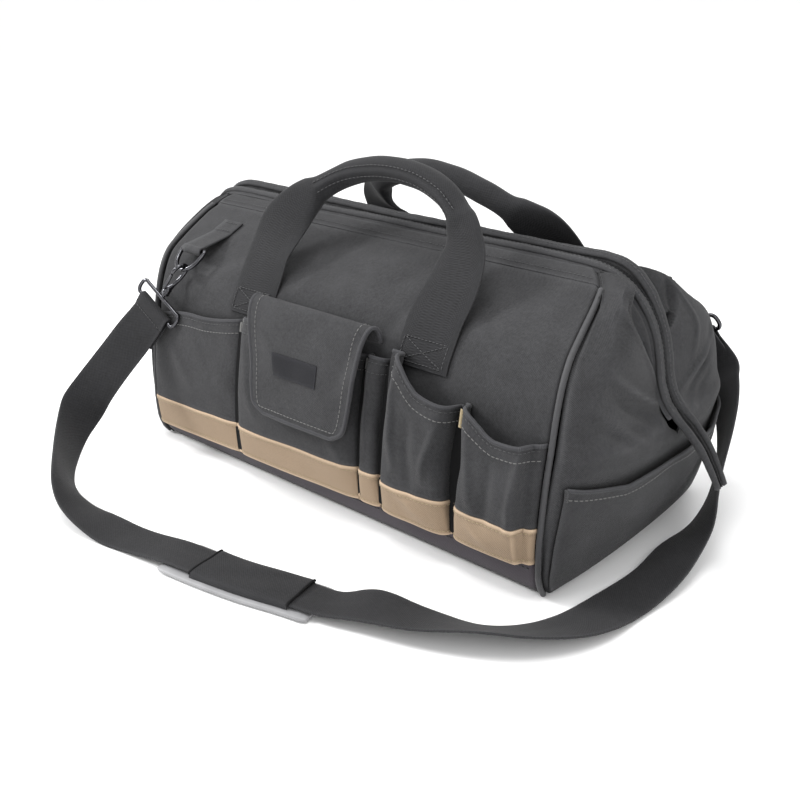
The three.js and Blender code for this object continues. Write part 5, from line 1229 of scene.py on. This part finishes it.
path = pad_path(-24, 112, 120, 2.8)
d = unit(np.gradient(path, axis=0))
a = np.array([0.23, -0.97, 0])
a = unit(a - d * (d @ a)[:, None])
u = np.linspace(0, 1, 120)
taper = np.clip(np.minimum(u, 1 - u) / 0.05, 0, 1) ** 0.5
rings = []
for i in range(36):
    g = i / 36 * 2 * math.pi
    k1, k2 = np.sign(math.cos(g)) * abs(math.cos(g)) ** 0.28, np.sign(math.sin(g)) * abs(math.sin(g)) ** 0.7
    rings.append(path + a * (22.9 * k1 * (0.9 + 0.1 * taper))[:, None] + vec3(0, 0, k2 * 2.45 * (0.45 + 0.55 * taper)))
p, f, U = loft(np.stack(rings, 1))
pad = make("shoulder_pad_rubber", p, f, RUBBER, U, slot="rubber", nodes=["shoulder_pad"], sharp=60)

path = pad_path(8, 94, 90, 9.9)
d = unit(np.gradient(path, axis=0))
a = unit(np.array([0.23, -0.97, 0]) - d * (d @ np.array([0.23, -0.97, 0]))[:, None])
u = np.linspace(0, 1, 90)
hemz = 0.15 * (np.exp(-((u - 0.04) / 0.03) ** 2) + np.exp(-((u - 0.96) / 0.03) ** 2))
outer = [(-22.0, -4.6), (-22.2, -3), (-21.9, -1.2), (-21.0, -0.2), (-18, 0.25)] + [(q, 0.45 - 0.2 * math.sin((q + 15) / 30 * math.pi)) for q in np.linspace(-14, 14, 9)] \
    + [(18, 0.25), (21.0, -0.2), (21.9, -1.2), (22.2, -3), (22.0, -4.6)]
inner = [(21.2, -4.6), (21.3, -3), (21.0, -1.6), (20, -0.75)] + [(q, -0.55) for q in np.linspace(14, -14, 5)] + [(-20, -0.75), (-21.0, -1.6), (-21.3, -3), (-21.2, -4.6)]
rings = []
for k_, (q, w) in enumerate(outer + inner):
    up_ = hemz if k_ < len(outer) else 0 * hemz
    rings.append(path + a * (0.87 * q + np.sign(q) * up_ * (abs(q) > 20))[:, None] + vec3(0, 0, w + up_ * (abs(q) < 22) + 0.25 * np.sin(u * 9 + q * 0.2) * (k_ < len(outer))))
rings = np.stack(rings, 1)
n_, m_ = rings.shape[:2]
P = rings.reshape(-1, 3)
F = grid_faces(n_, m_, close_u=True).tolist()
no, ni = len(outer), len(inner)
for b_, rev in ((0, False), ((n_ - 1) * m_, True)):
    for i in range(no - 1):
        j = no + ni - 1 - int(round(i * (ni - 1) / (no - 1)))
        j2 = no + ni - 1 - int(round((i + 1) * (ni - 1) / (no - 1)))
        g = [i, i + 1, j2, j] if j != j2 else [i, i + 1, j]
        g = [q + b_ for q in g]
        F.append(g if rev else g[::-1])
LL = np.linspace(0, 86, n_)
U = np.stack([np.tile(np.arange(m_) * 2.6, n_), np.repeat(LL, m_)], -1)
sleeve = make("pad_sleeve_webbing", P, F, WEB, U, slot="webbing", nodes=["pad_sleeve"], sharp=60)
import bmesh
bm = bmesh.new()
bm.from_mesh(sleeve.data)
bmesh.ops.recalc_face_normals(bm, faces=bm.faces)
bm.to_mesh(sleeve.data)
bm.free()
# bound ends of the sleeve: real binding, given a near-black colour as painted shade along the sleeve's ends
for uq, e_ in ((0, "left"), (-1, "right")):
    q = resample(rings[uq, 2:no - 2] + np.array([0, 0, -0.1]), 1.2)[0]
    p, f, U = tube(q, 1.0, 12, hint=(0, 0, 1))
    make(f"pad_sleeve_edge_{e_}", p, f, SHADE_CLOTH, U, slot="webbing", sharp=0)

# ------------------------------------------------------------------ threads
for kind, mat in (("light", T_LIGHT), ("tan", T_TAN), ("dark", T_DARK)):
    if THREAD[kind]:
        p, f, U = merge(THREAD[kind])
        make(f"stitching_{kind}", p, f, mat, U, slot="stitching", sharp=0)

# ------------------------------------------------------------------ floor and light
floor = bpy.data.meshes.new("floor")
floor.from_pydata([(-40, -40, 0), (40, -40, 0), (40, 40, 0), (-40, 40, 0)], [], [(0, 1, 2, 3)])
fmat, ft, fb = nodes_of("pale_floor")
fn = add_node(ft, "ShaderNodeTexNoise", _Scale=3.0)
fr = add_node(ft, "ShaderNodeValToRGB")
fr.color_ramp.elements[0].color, fr.color_ramp.elements[1].color = (0.95, 0.95, 0.95, 1), (0.97, 0.97, 0.97, 1)
link(ft, fn, "Fac", fr, "Fac")
link(ft, fr, "Color", fb, "Base Color")
fb.inputs["Roughness"].default_value = 0.7
floor.materials.append(fmat)
floor_o = bpy.data.objects.new("floor", floor)
bpy.context.collection.objects.link(floor_o)
floor_o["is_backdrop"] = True

bpy.context.scene.view_settings.view_transform = "Standard"
world = bpy.data.worlds.new("studio")
bpy.context.scene.world = world
world.use_nodes = True
world.node_tree.nodes["Background"].inputs["Color"].default_value = (1, 1, 1, 1)
world.node_tree.nodes["Background"].inputs["Strength"].default_value = 1.05


def area(name, loc, target, size, power):
    l = bpy.data.lights.new(name, "AREA")
    l.shape = "RECTANGLE"
    l.size, l.size_y = size
    l.energy = power
    o = bpy.data.objects.new(name, l)
    o.location = loc
    from mathutils import Vector
    o.rotation_euler = (Vector(target) - Vector(loc)).to_track_quat("-Z", "Y").to_euler()
    bpy.context.collection.objects.link(o)
    return o


area("key", (-1.7, -1.15, 1.35), (0, 0, 0.12), (0.45, 0.45), 36)
area("fill", (1.7, -0.9, 1.2), (0.1, 0, 0.12), (0.9, 0.9), 5)
area("top", (0.0, -0.35, 1.9), (0, 0, 0.15), (1.0, 0.7), 17)

bpy.context.view_layer.update()
lo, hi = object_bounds()
